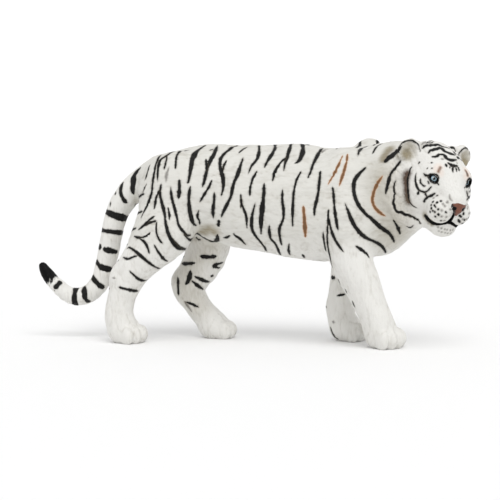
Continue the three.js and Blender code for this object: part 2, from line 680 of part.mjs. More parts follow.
const tiger = new THREE.Group();
for (const [name, solid] of Object.entries(pieces)) {
  const facets = FACETS[name] ?? FACETS[name.split('_')[0]];
  const shape = thinned(largestShell(solid), facets);
  shape.points = shape.points.map(([x, y, z]) => [x, y, z < SOLE_SNAP ? 0 : z]);
  tiger.add(meshNamed(name, geometryOf(shape), name === 'nose' ? noseColour : coat));
}
for (const { name, place } of eyes) {
  const eye = meshNamed(name, new THREE.SphereGeometry(EYE_RADIUS, ...EYE_SEGMENTS), eyeColour);
  eye.applyMatrix4(place);
  tiger.add(eye);
}

// The origin is the middle of the floor under the whole figure.
const bounds = new THREE.Box3().setFromObject(tiger, true);
tiger.position.set(-(bounds.min.x + bounds.max.x) / 2, -(bounds.min.y + bounds.max.y) / 2, -bounds.min.z);

export default tiger;
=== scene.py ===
import math

import bpy
import numpy as np
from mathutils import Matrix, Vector
from mathutils.bvhtree import BVHTree


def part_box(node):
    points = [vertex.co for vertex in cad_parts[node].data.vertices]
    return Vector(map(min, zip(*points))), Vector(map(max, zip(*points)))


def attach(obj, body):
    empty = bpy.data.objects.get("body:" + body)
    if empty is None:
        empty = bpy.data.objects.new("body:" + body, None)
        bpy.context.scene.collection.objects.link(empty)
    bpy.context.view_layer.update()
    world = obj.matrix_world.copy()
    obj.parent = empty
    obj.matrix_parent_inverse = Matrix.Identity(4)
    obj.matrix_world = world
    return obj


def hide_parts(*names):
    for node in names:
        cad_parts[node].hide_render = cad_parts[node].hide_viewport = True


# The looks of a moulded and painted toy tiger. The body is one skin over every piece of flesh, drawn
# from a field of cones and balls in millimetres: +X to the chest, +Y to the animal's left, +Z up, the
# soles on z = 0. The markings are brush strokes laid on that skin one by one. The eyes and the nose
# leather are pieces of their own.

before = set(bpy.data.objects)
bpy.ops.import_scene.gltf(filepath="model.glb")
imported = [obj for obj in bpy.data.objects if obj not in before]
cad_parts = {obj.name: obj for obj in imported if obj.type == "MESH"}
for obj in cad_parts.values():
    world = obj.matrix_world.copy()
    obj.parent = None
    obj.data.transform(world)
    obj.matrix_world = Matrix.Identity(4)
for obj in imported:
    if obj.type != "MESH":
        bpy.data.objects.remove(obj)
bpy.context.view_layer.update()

MM = 0.001
FAR = 50.0  # field value away from every shape, in mm
REACH = 5.0  # how far past its blend a shape is worked out
SOLE_SNAP = 0.1  # skin that settles this near the floor is set down on it

# ---- Driving sizes, in mm and degrees ----
SKIN_LOW, SKIN_HIGH = (-80.0, -42.0, -3.0), (82.0, 24.0, 74.0)
SKIN_STEP = 0.79  # spacing of the skin's points; halved on paws and head
PAW_TOP = 9  # the skin is finer below this height and on the head:
FINE_HEAD, FINE_NAPE = 17.5, -7  # within this of its core, and ahead of this in its own frame;
FACE_LOW, FACE_HIGH = (6.5, -9.5, -15), (20, 9.5, 9)  # the face, a box there, is finer again
SPINE_HEIGHT = 49.1
HIP = (-26.5, 8.0, 49.5)
HEAD_CENTRE = (61.9, -10.6, 55.5)
HEAD_TURN, HEAD_NOD, HEAD_TILT = -57, 11, -6.8
EYE_PLACE = (8.2, 5.7, 1.9)  # in the head's own frame: x to the nose, y left, z up
EYE_RADIUS = 1.95
EYE_SLANT = 24  # how far the lids turn outward, and their outer corners up
EYE_GAZE = (17, -3)  # degrees outward from the nose, and up
HEAD_CORE = (2, 0, -2)  # the middle of skull and muzzle, in the head's own frame
EAR_LEAN, EAR_TURN = 31, 20
EAR_TIP = 30  # how far an ear's highest point lies outward round its bowl
SIDEWAYS = (0, 1, 0)


# ---- Turns ----
def turn_x(degrees):
    c, s = math.cos(math.radians(degrees)), math.sin(math.radians(degrees))
    return np.array([[1, 0, 0], [0, c, -s], [0, s, c]])


def turn_y(degrees):
    c, s = math.cos(math.radians(degrees)), math.sin(math.radians(degrees))
    return np.array([[c, 0, s], [0, 1, 0], [-s, 0, c]])


def turn_z(degrees):
    c, s = math.cos(math.radians(degrees)), math.sin(math.radians(degrees))
    return np.array([[c, -s, 0], [s, c, 0], [0, 0, 1]])


HEAD = turn_z(HEAD_TURN) @ turn_y(HEAD_NOD) @ turn_x(HEAD_TILT)


def from_head(points):
    return np.asarray(points, float) @ HEAD.T + HEAD_CENTRE


def to_head(points):
    return (np.asarray(points, float) - HEAD_CENTRE) @ HEAD


# ---- The two shapes that the body is modelled from ----
class Cone:
    """A cone with round ends of radius ra and rb; width stretches it along side."""

    def __init__(self, a, b, ra, rb, blend, side=None, width=1.0):
        self.a, self.b, self.ra, self.rb, self.blend = np.array(a, float), np.array(b, float), ra, rb, blend
        self.side = None if side is None else np.array(side, float)
        self.width = width
        reach = max(ra, rb) * max(1.0, width)
        self.low, self.high = np.minimum(self.a, self.b) - reach, np.maximum(self.a, self.b) + reach

    def squeezed(self, x, y, z):
        if self.side is None:
            return x, y, z
        shift = (x * self.side[0] + y * self.side[1] + z * self.side[2]) * (1 / self.width - 1)
        return x + shift * self.side[0], y + shift * self.side[1], z + shift * self.side[2]

    def distance(self, x, y, z):
        x, y, z = self.squeezed(x - self.a[0], y - self.a[1], z - self.a[2])
        i, j, k = self.squeezed(*(self.b - self.a))
        t = np.clip((x * i + y * j + z * k) / max(i * i + j * j + k * k, 1e-9), 0, 1)
        away = np.sqrt((x - i * t) ** 2 + (y - j * t) ** 2 + (z - k * t) ** 2)
        return (away - self.ra - (self.rb - self.ra) * t) * min(1.0, self.width)


class Ball:
    """A ball with three radii, along the axes of a turn."""

    def __init__(self, centre, radii, blend, turn=np.eye(3)):
        self.centre, self.radii, self.blend, self.turn = np.array(centre, float), radii, blend, turn
        reach = np.sqrt(((turn * np.array(radii)) ** 2).sum(1))
        self.low, self.high = self.centre - reach, self.centre + reach

    def distance(self, x, y, z):
        x, y, z = x - self.centre[0], y - self.centre[1], z - self.centre[2]
        near = steep = 0
        for radius, (i, j, k) in zip(self.radii, self.turn.T):
            along = (x * i + y * j + z * k) / radius
            near = near + along ** 2
            steep = steep + (along / radius) ** 2
        near = np.sqrt(near)
        return near * (near - 1) / np.maximum(np.sqrt(steep), 1e-6)


def spline(points, steps=3):
    """A smooth curve through the points, whatever they hold."""
    knots = np.array(points, float)
    knots = np.vstack([2 * knots[0] - knots[1], knots, 2 * knots[-1] - knots[-2]])
    smooth = []
    for a, b, c, d in zip(knots, knots[1:], knots[2:], knots[3:]):
        for t in np.arange(steps) / steps:
            smooth.append(0.5 * (2 * b + (c - a) * t + (2 * a - 5 * b + 4 * c - d) * t ** 2
                                 + (3 * b - a - 3 * c + d) * t ** 3))
    return np.array(smooth + [knots[-2]])


def limb(points, blend=0.6):
    """Points are (x, y, z, radius); the curve through them is drawn as short cones."""
    smooth = spline(points)
    return [Cone(a[:3], b[:3], a[3], b[3], blend) for a, b in zip(smooth, smooth[1:])]


# ---- Trunk, neck and haunches ----
def trunk():
    return [
        Cone((-3, 0, SPINE_HEIGHT), (14, 0, 48.1), 15.6, 16.7, 6, SIDEWAYS, 0.8),  # rib cage
        Cone((14, 0, 48.1), (20, 0, 47.5), 16.7, 16.3, 6, SIDEWAYS, 0.8),
        Cone((20, 0, 47.5), (26, 0, 46.4), 16.3, 16.5, 6, SIDEWAYS, 0.8),
        Cone((-16, 0, 50.8), (-2, 0, 49.4), 13.6, 15.3, 6, SIDEWAYS, 0.76),  # loin
        Cone((-28, 0, 52.7), (-15, 0, 52.2), 10.8, 13, 6, SIDEWAYS, 0.95),  # pelvis
        Cone((30, 0, 45.4), (42.6, -1.5, 42.1), 15.4, 11.7, 6, SIDEWAYS, 0.86),  # breast
        Ball((31.8, -9, 51.2), (8, 4.8, 14.8), 4.5, turn_y(14)),  # right shoulder
        Ball((38.4, 8, 55.2), (7.5, 5, 14), 5, turn_y(8)),  # left shoulder
    ]


def neck():
    return [
        Cone((37, 0, 52), (50, -3.5, 54.6), 14.1, 12, 6, SIDEWAYS, 0.86),
        Cone((50, -3.5, 54.4), (59, -7, 55.2), 12, 11, 6),
        Cone((42, -1, 43), (54, -5, 48.5), 12, 9.2, 6),
    ]


def haunches():
    """Thigh and knee of the right side, then of the left."""
    x, y, z = HIP
    right = [
        Ball((x + 0.7, -y, z), (10.4, 6.2, 15), 4, turn_y(10)),
        Ball((-30.4, -9, 37.5), (7.6, 5, 9), 4, turn_y(40)),
    ]
    left = [
        Ball((x + 5.5, y, z), (11, 6.2, 14), 4, turn_y(-14)),
        Ball((-16.5, 8.8, 37), (7.5, 5, 8), 4, turn_y(-10)),
    ]
    return right, left


# ---- Legs, paws and tail ----
# Each leg: its line of (x, y, z, radius) from inside the trunk to the paw, the bony hock or wrist,
# and the paw as the middle of its sole, its turn, length, width and height.
LEGS = {
    "hind_right": (
        [(-27, -9.2, 37, 8.6), (-34, -9.4, 30, 6.9), (-38.6, -9.4, 24.3, 5.7), (-41.2, -9.4, 19, 4.8),
         (-42.7, -9.3, 14.5, 4.5), (-43.5, -9.2, 9.5, 4.6), (-42.4, -9, 5.5, 4.9)],
        Ball((-43.4, -9.3, 22.6), (2.6, 3.2, 3.4), 3, turn_y(20)),
        ((-40.3, -9), -22, 13, 11, 7.5),
    ),
    "hind_left": (
        [(-16, 9.2, 38, 8.2), (-17.2, 9.2, 28, 7), (-22.9, 8.8, 18.2, 5.5), (-20.9, 8.5, 13, 4.5),
         (-17.6, 8.4, 8.5, 4.3), (-14.5, 8.4, 5.3, 4.5)],
        Ball((-25.6, 8.6, 18.6), (2.4, 3, 4), 3, turn_y(-25)),
        ((-12.3, 8.4), 0, 13, 11, 7.5),
    ),
    "fore_right": (
        [(33.6, -9, 44, 8.6), (34.9, -9.4, 30, 6.9), (37.8, -9.4, 23, 6.2), (40.9, -9.4, 16, 5.35),
         (43.2, -9.3, 10.5, 5.1), (44.8, -9.2, 6.5, 5.1)],
        Ball((39.6, -9.3, 14.5), (2.4, 3, 3), 2),
        ((46.3, -8.8), -35, 13.4, 12, 8.5),
    ),
    "fore_left": (
        [(36.5, 8.5, 44, 8.4), (33.6, 8.8, 30, 6.5), (32.2, 8.6, 22, 5.5), (30.6, 8.3, 14, 4.8),
         (30.2, 8.2, 9, 4.6), (31, 8, 6, 4.7)],
        Ball((27.9, 8.2, 11.6), (2.4, 3, 3), 2),
        ((33.4, 8), -15, 12.8, 11.5, 8.3),
    ),
}
# Each toe, in parts of the paw's width, length and width: its place across and along, and its half width.
TOES = [(-0.34, 0.15, 0.155), (-0.12, 0.235, 0.17), (0.12, 0.235, 0.17), (0.34, 0.15, 0.155)]
TOE_SPREAD = 50  # degrees that a toe a whole width off the middle would turn out


def paw(sole, turn, length, width, height):
    def within(along, across, up):
        return np.array([*sole, 0]) + turn_z(turn) @ (along * length, across * width, up * height)

    shapes = [Ball(within(-0.1, 0, 0.45), (0.4 * length, 0.44 * width, 0.58 * height), 2.5, turn_z(turn))]
    for across, along, thick in TOES:
        radii = (0.235 * length, thick * width, 0.42 * height)
        shapes.append(Ball(within(along, across, 0.36), radii, 0.9, turn_z(turn + across * TOE_SPREAD)))
    return shapes


TAIL = [
    (-31, 0, 56, 6.4), (-38.2, 0.5, 53.2, 4.9), (-43, 1, 49, 4.2), (-46.3, 1.5, 44, 3.75),
    (-48, 1.5, 38.5, 3.55), (-49.2, 1.5, 32.3, 3.45), (-50.5, 1.5, 26.7, 3.35), (-52.6, 1.5, 19.8, 3.2),
    (-57, 1, 15.2, 3.05), (-62.8, 0.5, 14.6, 2.8), (-68, 0, 18.4, 2.35), (-71.2, 0, 22.2, 1.95),
    (-72.8, 0, 24.8, 1.4),
]


# ---- Head ----
def head_ball(centre, radii, blend, turn=np.eye(3)):
    return Ball(from_head(centre), radii, blend, HEAD @ turn)


def head_cone(a, b, ra, rb, blend, width=1.0):
    return Cone(from_head(a), from_head(b), ra, rb, blend, HEAD @ SIDEWAYS, width)


def skull():
    shapes = [
        head_ball((-2.6, 0, 2), (10.6, 9.8, 10.1), 3),
        head_ball((4, 0, 3), (6.6, 8, 6.7), 3),  # forehead
        head_cone((6.2, 0, 2.4), (14.8, 0, -3.6), 4.6, 3.3, 3, 1.15),  # bridge of the nose
        head_cone((6.5, 0, -5.4), (10.8, 0, -6.4), 6, 4.1, 2.5, 1.1),  # upper jaw
        head_cone((1, 0, -9.6), (10.9, 0, -12.8), 5.4, 3.6, 1, 1.3),  # lower jaw, chin
    ]
    for side in (-1, 1):
        shapes += [
            head_ball((3.8, side * 6.4, -2.8), (6.2, 4.8, 6.4), 3),  # cheek bone
            head_ball((12.4, side * 3.3, -7.5), (4.6, 4, 4.3), 1.2),  # whisker pad
            head_ball((7.4, side * 5, 4), (3, 3, 1.9), 2),  # brow
        ]
    return shapes + [head_ball((16.8, 0, -5.2), (1.5, 2.9, 1.9), 0.8)]  # nose


# The ruff's line of (x, y, z, radius), from under the left ear to the jaw, in the head's own frame.
RUFF = [(-2.5, 9.4, 3.6, 2.3), (-3.8, 11, -1, 3.2), (-3.4, 11.2, -7, 3.6), (-1, 9.4, -11.6, 3.4),
        (2.6, 5.6, -13.4, 2.6)]


def ruff(side):
    """The long cheek fur: a collar from under the ear to the corner of the jaw."""
    return limb([(*from_head((x, side * y, z)), radius) for x, y, z, radius in RUFF])


def ruff_locks(side):
    """Pointed locks along the ruff's free edge, laid back and down."""
    locks = []
    for x, y, z, radius in spline(RUFF)[1:]:
        root = np.array([x - 0.25 * radius, side * (y + 0.3 * radius), z - 0.25 * radius])
        lie = np.array([-0.5, side * 0.28, -0.82]) * (radius * 0.7 + 1.7)
        locks.append(head_cone(root, root + lie, 0.42 * radius, 0.25, 0.9))
    return locks


def ear_turn(side):
    return turn_z(side * EAR_TURN) @ turn_x(side * EAR_LEAN)


def ear(side):
    return head_ball((-1.8, side * 10.3, 8.1), (1.8, 3.7, 3.5), 1.5, ear_turn(side))


def ear_root(side):
    """The ear's rim runs on over the crown."""
    return head_cone((-2, side * 5.2, 10.4), (-2, side * 9.6, 11), 1, 1.1, 1.5)


def ear_hollow(side):
    return head_ball((-0.3, side * 11, 8.5), (1.6, 2.7, 2.5), 0.8, ear_turn(side))


def lids(side):
    x, y, z = EYE_PLACE
    return head_ball((x - 0.2, side * y, z), (2.9, 3.1, 2.5), 1.4, turn_z(side * EYE_SLANT))


def lid_opening(side):
    turn = turn_z(side * EYE_SLANT) @ turn_x(side * EYE_SLANT)
    return head_ball((10.2, side * 6.5, 1.85), (3, 1.5, 0.73), 0.3, turn)


def lip_grooves():
    """The mouth line of both sides and the short cleft under the nose."""
    grooves = []
    for side in (-1, 1):
        line = [(14.1, 0, -10.7, 0.3), (14.1, side * 1.6, -11.2, 0.3), (13.6, side * 3.4, -11.8, 0.35),
                (12.3, side * 4.9, -12, 0.5), (10, side * 5.5, -11.6, 0.7), (8.2, side * 6, -10.6, 0.7),
                (7.8, side * 6.3, -10.1, 0.4)]
        grooves += [head_cone(a[:3], b[:3], a[3], b[3], 0.4) for a, b in zip(line, line[1:])]
    return grooves + [head_cone((15.7, 0, -7.2), (14.1, 0, -10.7), 0.45, 0.45, 0.3)]


# ---- The field: signed distance to the body, on a grid or at loose points ----
class Grid:
    """Samples on a regular grid; a window is a block of it."""

    def __init__(self, low, high, step):
        self.axes = [np.arange(a, b, step, dtype=np.float32) for a, b in zip(low, high)]
        self.shape = tuple(len(axis) for axis in self.axes)

    def window(self, low, high):
        return tuple(slice(*np.searchsorted(axis, span)) for axis, span in zip(self.axes, zip(low, high)))

    def points(self, window):
        return np.ix_(*(axis[part] for axis, part in zip(self.axes, window)))


class Cloud:
    """Samples at loose points; a window is the list of those in it."""

    def __init__(self, points):
        self.axes = np.ascontiguousarray(points.T)
        self.shape = (len(points),)

    def window(self, low, high):
        inside = np.ones(self.shape, bool)
        for axis, a, b in zip(self.axes, low, high):
            inside &= (axis > a) & (axis < b)
        return np.flatnonzero(inside)

    def points(self, window):
        return [axis[window] for axis in self.axes]


def soft_min(a, b, blend):
    near = np.maximum(blend - np.abs(a - b), 0) / blend
    return np.minimum(a, b) - near * near * blend / 4


def union(samples, shapes):
    """The shapes joined to each other, each by its own blend."""
    group = np.full(samples.shape, FAR, np.float32)
    for shape in shapes:
        margin = shape.blend + REACH
        window = samples.window(shape.low - margin, shape.high + margin)
        group[window] = soft_min(group[window], shape.distance(*samples.points(window)), shape.blend)
    return group


def carved(samples, field, shape):
    """The field with a shape taken out of it."""
    margin = shape.blend + REACH
    window = samples.window(shape.low - margin, shape.high + margin)
    field[window] = -soft_min(-field[window], shape.distance(*samples.points(window)), shape.blend)
    return field


def body_field(samples):
    """Every piece of flesh, joined to what came before by its own blend, then what is carved out."""
    field = union(samples, trunk())
    # each group of shapes, and the blend that joins it on
    groups = [(neck(), 4)] + [(side, 4) for side in haunches()]
    groups += [(limb(line) + [joint] + paw(*foot), 3.5) for line, joint, foot in LEGS.values()]
    groups.append((limb(TAIL), 2))
    groups += [(ruff(side) + ruff_locks(side), 1.5) for side in (-1, 1)]
    groups.append((skull(), 2.5))
    for shapes, blend in groups:
        field = soft_min(field, union(samples, shapes), blend)
    for side in (-1, 1):
        rims = union(samples, [ear(side), ear_root(side)])
        field = carved(samples, soft_min(field, rims, 1.5), ear_hollow(side))
        field = carved(samples, soft_min(field, union(samples, [lids(side)]), 1.4), lid_opening(side))
    for groove in lip_grooves():
        field = carved(samples, field, groove)
    return field


def slope(points, field=body_field, reach=0.05):
    """The field's gradient at loose points."""
    steps = np.eye(3) * reach
    return np.stack([field(Cloud(points + s)) - field(Cloud(points - s)) for s in steps], 1) / (2 * reach)


# ---- Field to mesh ----
def surface_nets(field, grid):
    """One point in each cell that the surface crosses, joined into triangles."""
    inside = field < 0
    cells = np.array(field.shape) - 1
    filled = sum(inside[i:cells[0] + i, j:cells[1] + j, k:cells[2] + k].astype(np.int8)
                 for i in (0, 1) for j in (0, 1) for k in (0, 1))
    crossed = (filled > 0) & (filled < 8)
    where = np.argwhere(crossed)
    number = np.full(cells, -1)
    number[crossed] = np.arange(len(where))
    total, count = np.zeros((len(where), 3)), np.zeros(len(where))
    triangles = []
    for axis in range(3):
        one, two = (axis + 1) % 3, (axis + 2) % 3
        step = np.eye(3, dtype=int)[axis]
        for i in (0, 1):
            for j in (0, 1):
                start = where.copy()
                start[:, one] += i
                start[:, two] += j
                here, there = field[tuple(start.T)], field[tuple((start + step).T)]
                cut = (here < 0) != (there < 0)
                point = start[cut].astype(float)
                point[:, axis] += here[cut] / (here[cut] - there[cut])
                total[cut] += point
                count[cut] += 1
        edge = np.argwhere(np.diff(inside.astype(np.int8), axis=axis))
        ring = []
        for i, j in ((-1, -1), (0, -1), (0, 0), (-1, 0)):
            cell = edge.copy()
            cell[:, one] += i
            cell[:, two] += j
            ring.append(number[tuple(cell.T)])
        ring = np.stack(ring, 1)
        outward = inside[tuple(edge.T)]
        ring[~outward] = ring[~outward][:, ::-1]
        triangles += [ring[:, [0, 1, 2]], ring[:, [0, 2, 3]]]
    step = grid.axes[0][1] - grid.axes[0][0]
    origin = np.array([axis[0] for axis in grid.axes])
    return origin + total / count[:, None] * step, np.concatenate(triangles)


def refined(points, triangles, wanted):
    """Splits the wanted triangles in four, and their neighbours so that no gap opens."""
    ends = np.sort(triangles[:, [[0, 1], [1, 2], [2, 0]]], axis=2)
    edges, edge_of = np.unique(ends[..., 0] * len(points) + ends[..., 1], return_inverse=True)
    edge_of = edge_of.reshape(-1, 3)
    split = np.zeros(len(edges), bool)
    split[edge_of[wanted]] = True
    while (pair := split[edge_of].sum(1) == 2).any():
        split[edge_of[pair]] = True
    middle = np.full(len(edges), -1)
    middle[split] = len(points) + np.arange(split.sum())
    halves = np.stack(np.divmod(edges[split], len(points)), 1)
    mid = middle[edge_of]
    cuts = (mid >= 0).sum(1)
    parts = [triangles[cuts == 0]]
    a, b, c = triangles[cuts == 3].T
    ab, bc, ca = mid[cuts == 3].T
    parts += [np.stack(t, 1) for t in ((a, ab, ca), (ab, b, bc), (ca, bc, c), (ab, bc, ca))]
    for i in range(3):
        one = (cuts == 1) & (mid[:, i] >= 0)
        a, b, c = np.roll(triangles[one], -i, axis=1).T
        parts += [np.stack(t, 1) for t in ((a, mid[one, i], c), (mid[one, i], b, c))]
    return np.concatenate([points, points[halves].mean(1)]), np.concatenate(parts)


def settled(points, field=body_field, rounds=2, stride=0.3, least_slope=0.2):
    """Moves loose points onto the surface, and says which way it faces there."""
    for _ in range(rounds):
        gradient = slope(points, field)
        steepness = np.maximum((gradient ** 2).sum(1), least_slope)
        move = -(field(Cloud(points)) / steepness)[:, None] * gradient
        points = points + np.clip(move, -stride, stride)
    gradient = slope(points, field)
    return points, gradient / np.maximum(np.linalg.norm(gradient, axis=1, keepdims=True), 1e-6)


def skin_mesh():
    """The whole body's skin, finer on the head and paws, and flat where it stands."""
    grid = Grid(SKIN_LOW, SKIN_HIGH, SKIN_STEP)
    points, triangles = surface_nets(body_field(grid), grid)
    middle = points[triangles].mean(1)
    head = to_head(middle)
    near_head = (np.linalg.norm(head - HEAD_CORE, axis=1) < FINE_HEAD) & (head[:, 0] > FINE_NAPE)
    points, triangles = refined(points, triangles, near_head | (middle[:, 2] < PAW_TOP))
    head = to_head(points[triangles].mean(1))
    face = ((head > FACE_LOW) & (head < FACE_HIGH)).all(1)
    points, triangles = refined(points, triangles, face)
    points, normals = settled(points)
    points[points[:, 2] < SOLE_SNAP, 2] = 0
    return points, triangles, normals


# ---- Design to frame ----
def eye_centre(side):
    x, y, z = EYE_PLACE
    return from_head((x, side * y, z))


eye_low, eye_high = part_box("eye_right")
SHIFT = np.array((eye_low + eye_high) / 2) / MM - eye_centre(-1)


def placed(points):
    """Design millimetres to the frame's metres."""
    return (np.asarray(points, float) + SHIFT) * MM


# ---- The moulded fur: flat locks with creases between them ----
RELIEF_DEPTH = 0.2
FUR_WAVE = 4.2  # the waves' length across the fur; a lock is half of one
HEAD_FINER, FACE_CALM, LEG_CALM = 1.3, 0.75, 0.4  # how much smaller the head's locks are; relief lost
LOCK_TOP, LOCK_LEVEL, CREASE = 1.5, 0.8, 0.3  # in waves' heights: flat tops, what stays level, creases
HEAD_FLOW, LEG_FLOW, TRUNK_FLOW = (0.9, 0, -0.44), (0, 0, 1.0), (0.95, 0, 0.31)  # the lie of the fur
# Where the head's lie of fur begins and is whole, by distance from its core; the legs', by height;
# and the tail's, by x.
HEAD_EDGE, LEG_EDGE, TAIL_EDGE = (19, 15), (38, 30), (-38, -42)


def waves(points, flow, seed, stretch=0.3, count=24):
    """Random waves, drawn out along the flow, of about one in height."""
    draw = np.random.default_rng(seed)
    pace = draw.normal(size=(count, 3))
    speed = 2 * math.pi / FUR_WAVE * draw.uniform(0.7, 1.4, (count, 1))
    pace *= speed / np.linalg.norm(pace, axis=1, keepdims=True)
    pace -= (1 - stretch) * (pace @ flow)[:, None] * np.array(flow)
    return np.sin(points @ pace.T + draw.uniform(0, 2 * math.pi, count)).sum(1) * math.sqrt(2 / count)


def faded(value, none, whole):
    """Rises smoothly from 0 at none to 1 at whole, whichever of the two is larger."""
    t = np.clip((value - none) / (whole - none), 0, 1)
    return t * t * (3 - 2 * t)


def lie_of_fur(points):
    """How much each point belongs to the head, the legs and tail, and the trunk."""
    in_head = to_head(points)
    head = faded(np.linalg.norm(in_head - HEAD_CORE, axis=1), *HEAD_EDGE)
    legs = (1 - head) * np.maximum(faded(points[:, 2], *LEG_EDGE), faded(points[:, 0], *TAIL_EDGE))
    return np.stack([head, legs, 1 - head - legs], 1), in_head


def fur_creases(points):
    """Depth of the relief at each point, and how near it is to the bottom of a crease."""
    lie, in_head = lie_of_fur(points)
    head, legs, _ = lie.T
    flows = [waves(in_head * HEAD_FINER, HEAD_FLOW, 3),
             waves(points, LEG_FLOW, 4), waves(points, TRUNK_FLOW, 5)]
    height = np.abs((lie * np.stack(flows, 1)).sum(1))
    face = faded(in_head[:, 0], 2, 8) * head
    sole = faded(points[:, 2], 3, 0.5)
    ruff_depth = 1 + head * faded(in_head[:, 0], 2, -2)
    depth = RELIEF_DEPTH * (1 - FACE_CALM * face) * (1 - sole) * (1 - LEG_CALM * legs) * ruff_depth
    crease = np.exp(-(height / CREASE) ** 2) * (1 - 0.8 * face)
    return depth * (np.minimum(height, LOCK_TOP) - LOCK_LEVEL), crease


# ---- Objects and materials ----
def new_object(name, data):
    thing = bpy.data.objects.new(name, data)
    bpy.context.scene.collection.objects.link(thing)
    return thing


def new_piece(name, places, faces, material):
    """A smooth mesh object; its places are in the frame's metres."""
    mesh = bpy.data.meshes.new(name)
    mesh.from_pydata(places, [], faces)
    mesh.shade_smooth()
    mesh.materials.append(material)
    return new_object(name, mesh)


def ring_quads(rings, spokes):
    """Faces between neighbouring rings of points, which are numbered ring after ring."""
    quads = []
    for ring in range(rings - 1):
        for spoke in range(spokes):
            a, b = ring * spokes + spoke, ring * spokes + (spoke + 1) % spokes
            quads.append((a, a + spokes, b + spokes, b))
    return quads


def mesh_object(name, points, triangles, material):
    """A piece whose points are in design millimetres."""
    return new_piece(name, placed(points).tolist(), triangles.tolist(), material)


def add_attribute(mesh, name, values):
    layer = mesh.attributes.new(name, "FLOAT_VECTOR", "POINT")
    layer.data.foreach_set("vector", np.ascontiguousarray(values, np.float32).ravel())


def new_material(name, colour, roughness):
    material = bpy.data.materials.new(name)
    material.use_nodes = True
    shader = material.node_tree.nodes["Principled BSDF"]
    shader.inputs["Base Color"].default_value = (*colour, 1)
    shader.inputs["Roughness"].default_value = roughness
    return material, shader


# ---- The skin, with its fur ----
skin_points, skin_triangles, skin_normals = skin_mesh()
skin_relief, skin_creases = fur_creases(skin_points)
skin_points += skin_normals * skin_relief[:, None]


# ---- Charts: where a pair of numbers lies on the skin ----
surface = BVHTree.FromPolygons(skin_points.tolist(), skin_triangles.tolist())
BODY_AXIS = [(-40, 0, 46), (30, 0, 44), (50, -3.5, 50), (60, -7, 52)]
HEAD_MIDDLE = (0, 0, -2)  # where the rays of the head's chart meet
OUTSIDE = 60.0  # how far off the middle plane a side view's rays start


def cast(origin, direction):
    """The first point of the skin along a ray, and which way the skin faces there."""
    point, normal, _, _ = surface.ray_cast(Vector(origin), Vector(direction))
    return None if point is None else (np.array(point), np.array(normal))


def on_body(x, angle):
    """x along the trunk; degrees from the spine down the right flank, or the left if negative."""
    stations, across, up = np.array(BODY_AXIS).T
    turn = math.radians(angle)
    origin = (x, np.interp(x, stations, across), np.interp(x, stations, up))
    return cast(origin, (0, -math.sin(turn), math.cos(turn)))


def seen_from(start, towards):
    """A chart of x and height, looking across the body from one y towards the left or the right."""
    return lambda x, z: cast((x, start, z), (0, towards, 0))


on_right, on_left = seen_from(-OUTSIDE, 1), seen_from(OUTSIDE, -1)
inside_left, inside_right = seen_from(0, 1), seen_from(0, -1)  # the inner sides of the legs


def on_rear(y, z):
    return cast((-2 * OUTSIDE, y, z), (1, 0, 0))


def on_head(turn, rise):
    """Degrees from the nose round to the head's left, and up to the crown."""
    turn, rise = math.radians(turn), math.radians(rise)
    out = np.array([math.cos(turn) * math.cos(rise), math.sin(turn) * math.cos(rise), math.sin(rise)])
    start = from_head(np.array(HEAD_MIDDLE) + out * OUTSIDE / 2)
    return cast(start, -(HEAD @ out))


def on_crown(x, y):
    """The top of the head, seen from above in the head's own frame."""
    return cast(from_head((x, y, OUTSIDE / 2)), -HEAD[:, 2])


TAIL_LINE = spline(TAIL, 8)[:, :3]
TAIL_LENGTH = np.concatenate([[0], np.cumsum(np.linalg.norm(np.diff(TAIL_LINE, axis=0), axis=1))])


def on_tail(along, angle):
    """Millimetres along the tail, and degrees round it from its rear to its right side."""
    at, ahead = (np.array([np.interp(s, TAIL_LENGTH, c) for c in TAIL_LINE.T]) for s in (along, along + 0.5))
    rear = np.cross(SIDEWAYS, ahead - at)
    rear /= np.linalg.norm(rear)
    turn = math.radians(angle)
    return cast(at, rear * math.cos(turn) - np.array(SIDEWAYS) * math.sin(turn))


def both(chart):
    """The chart as it is, and mirrored to the body's other side."""
    if chart in (on_head, on_rear):
        return chart, lambda across, up: chart(-across, up)
    return chart, lambda along, across: chart(along, -across)


# ---- Markings ----
# A stroke is its half width at the widest, in mm, and its points on a chart, in the order of the
# brush. Flank, haunch, shoulder, tail, cheek, nape, rear and whisker dots are written out for the
# right and repeated on the left, the first three with a small drift or shift. The rest is laid once,
# or on both faces of one leg.
BLACK, GREY, BROWN = 0.0, 0.5, 1.0

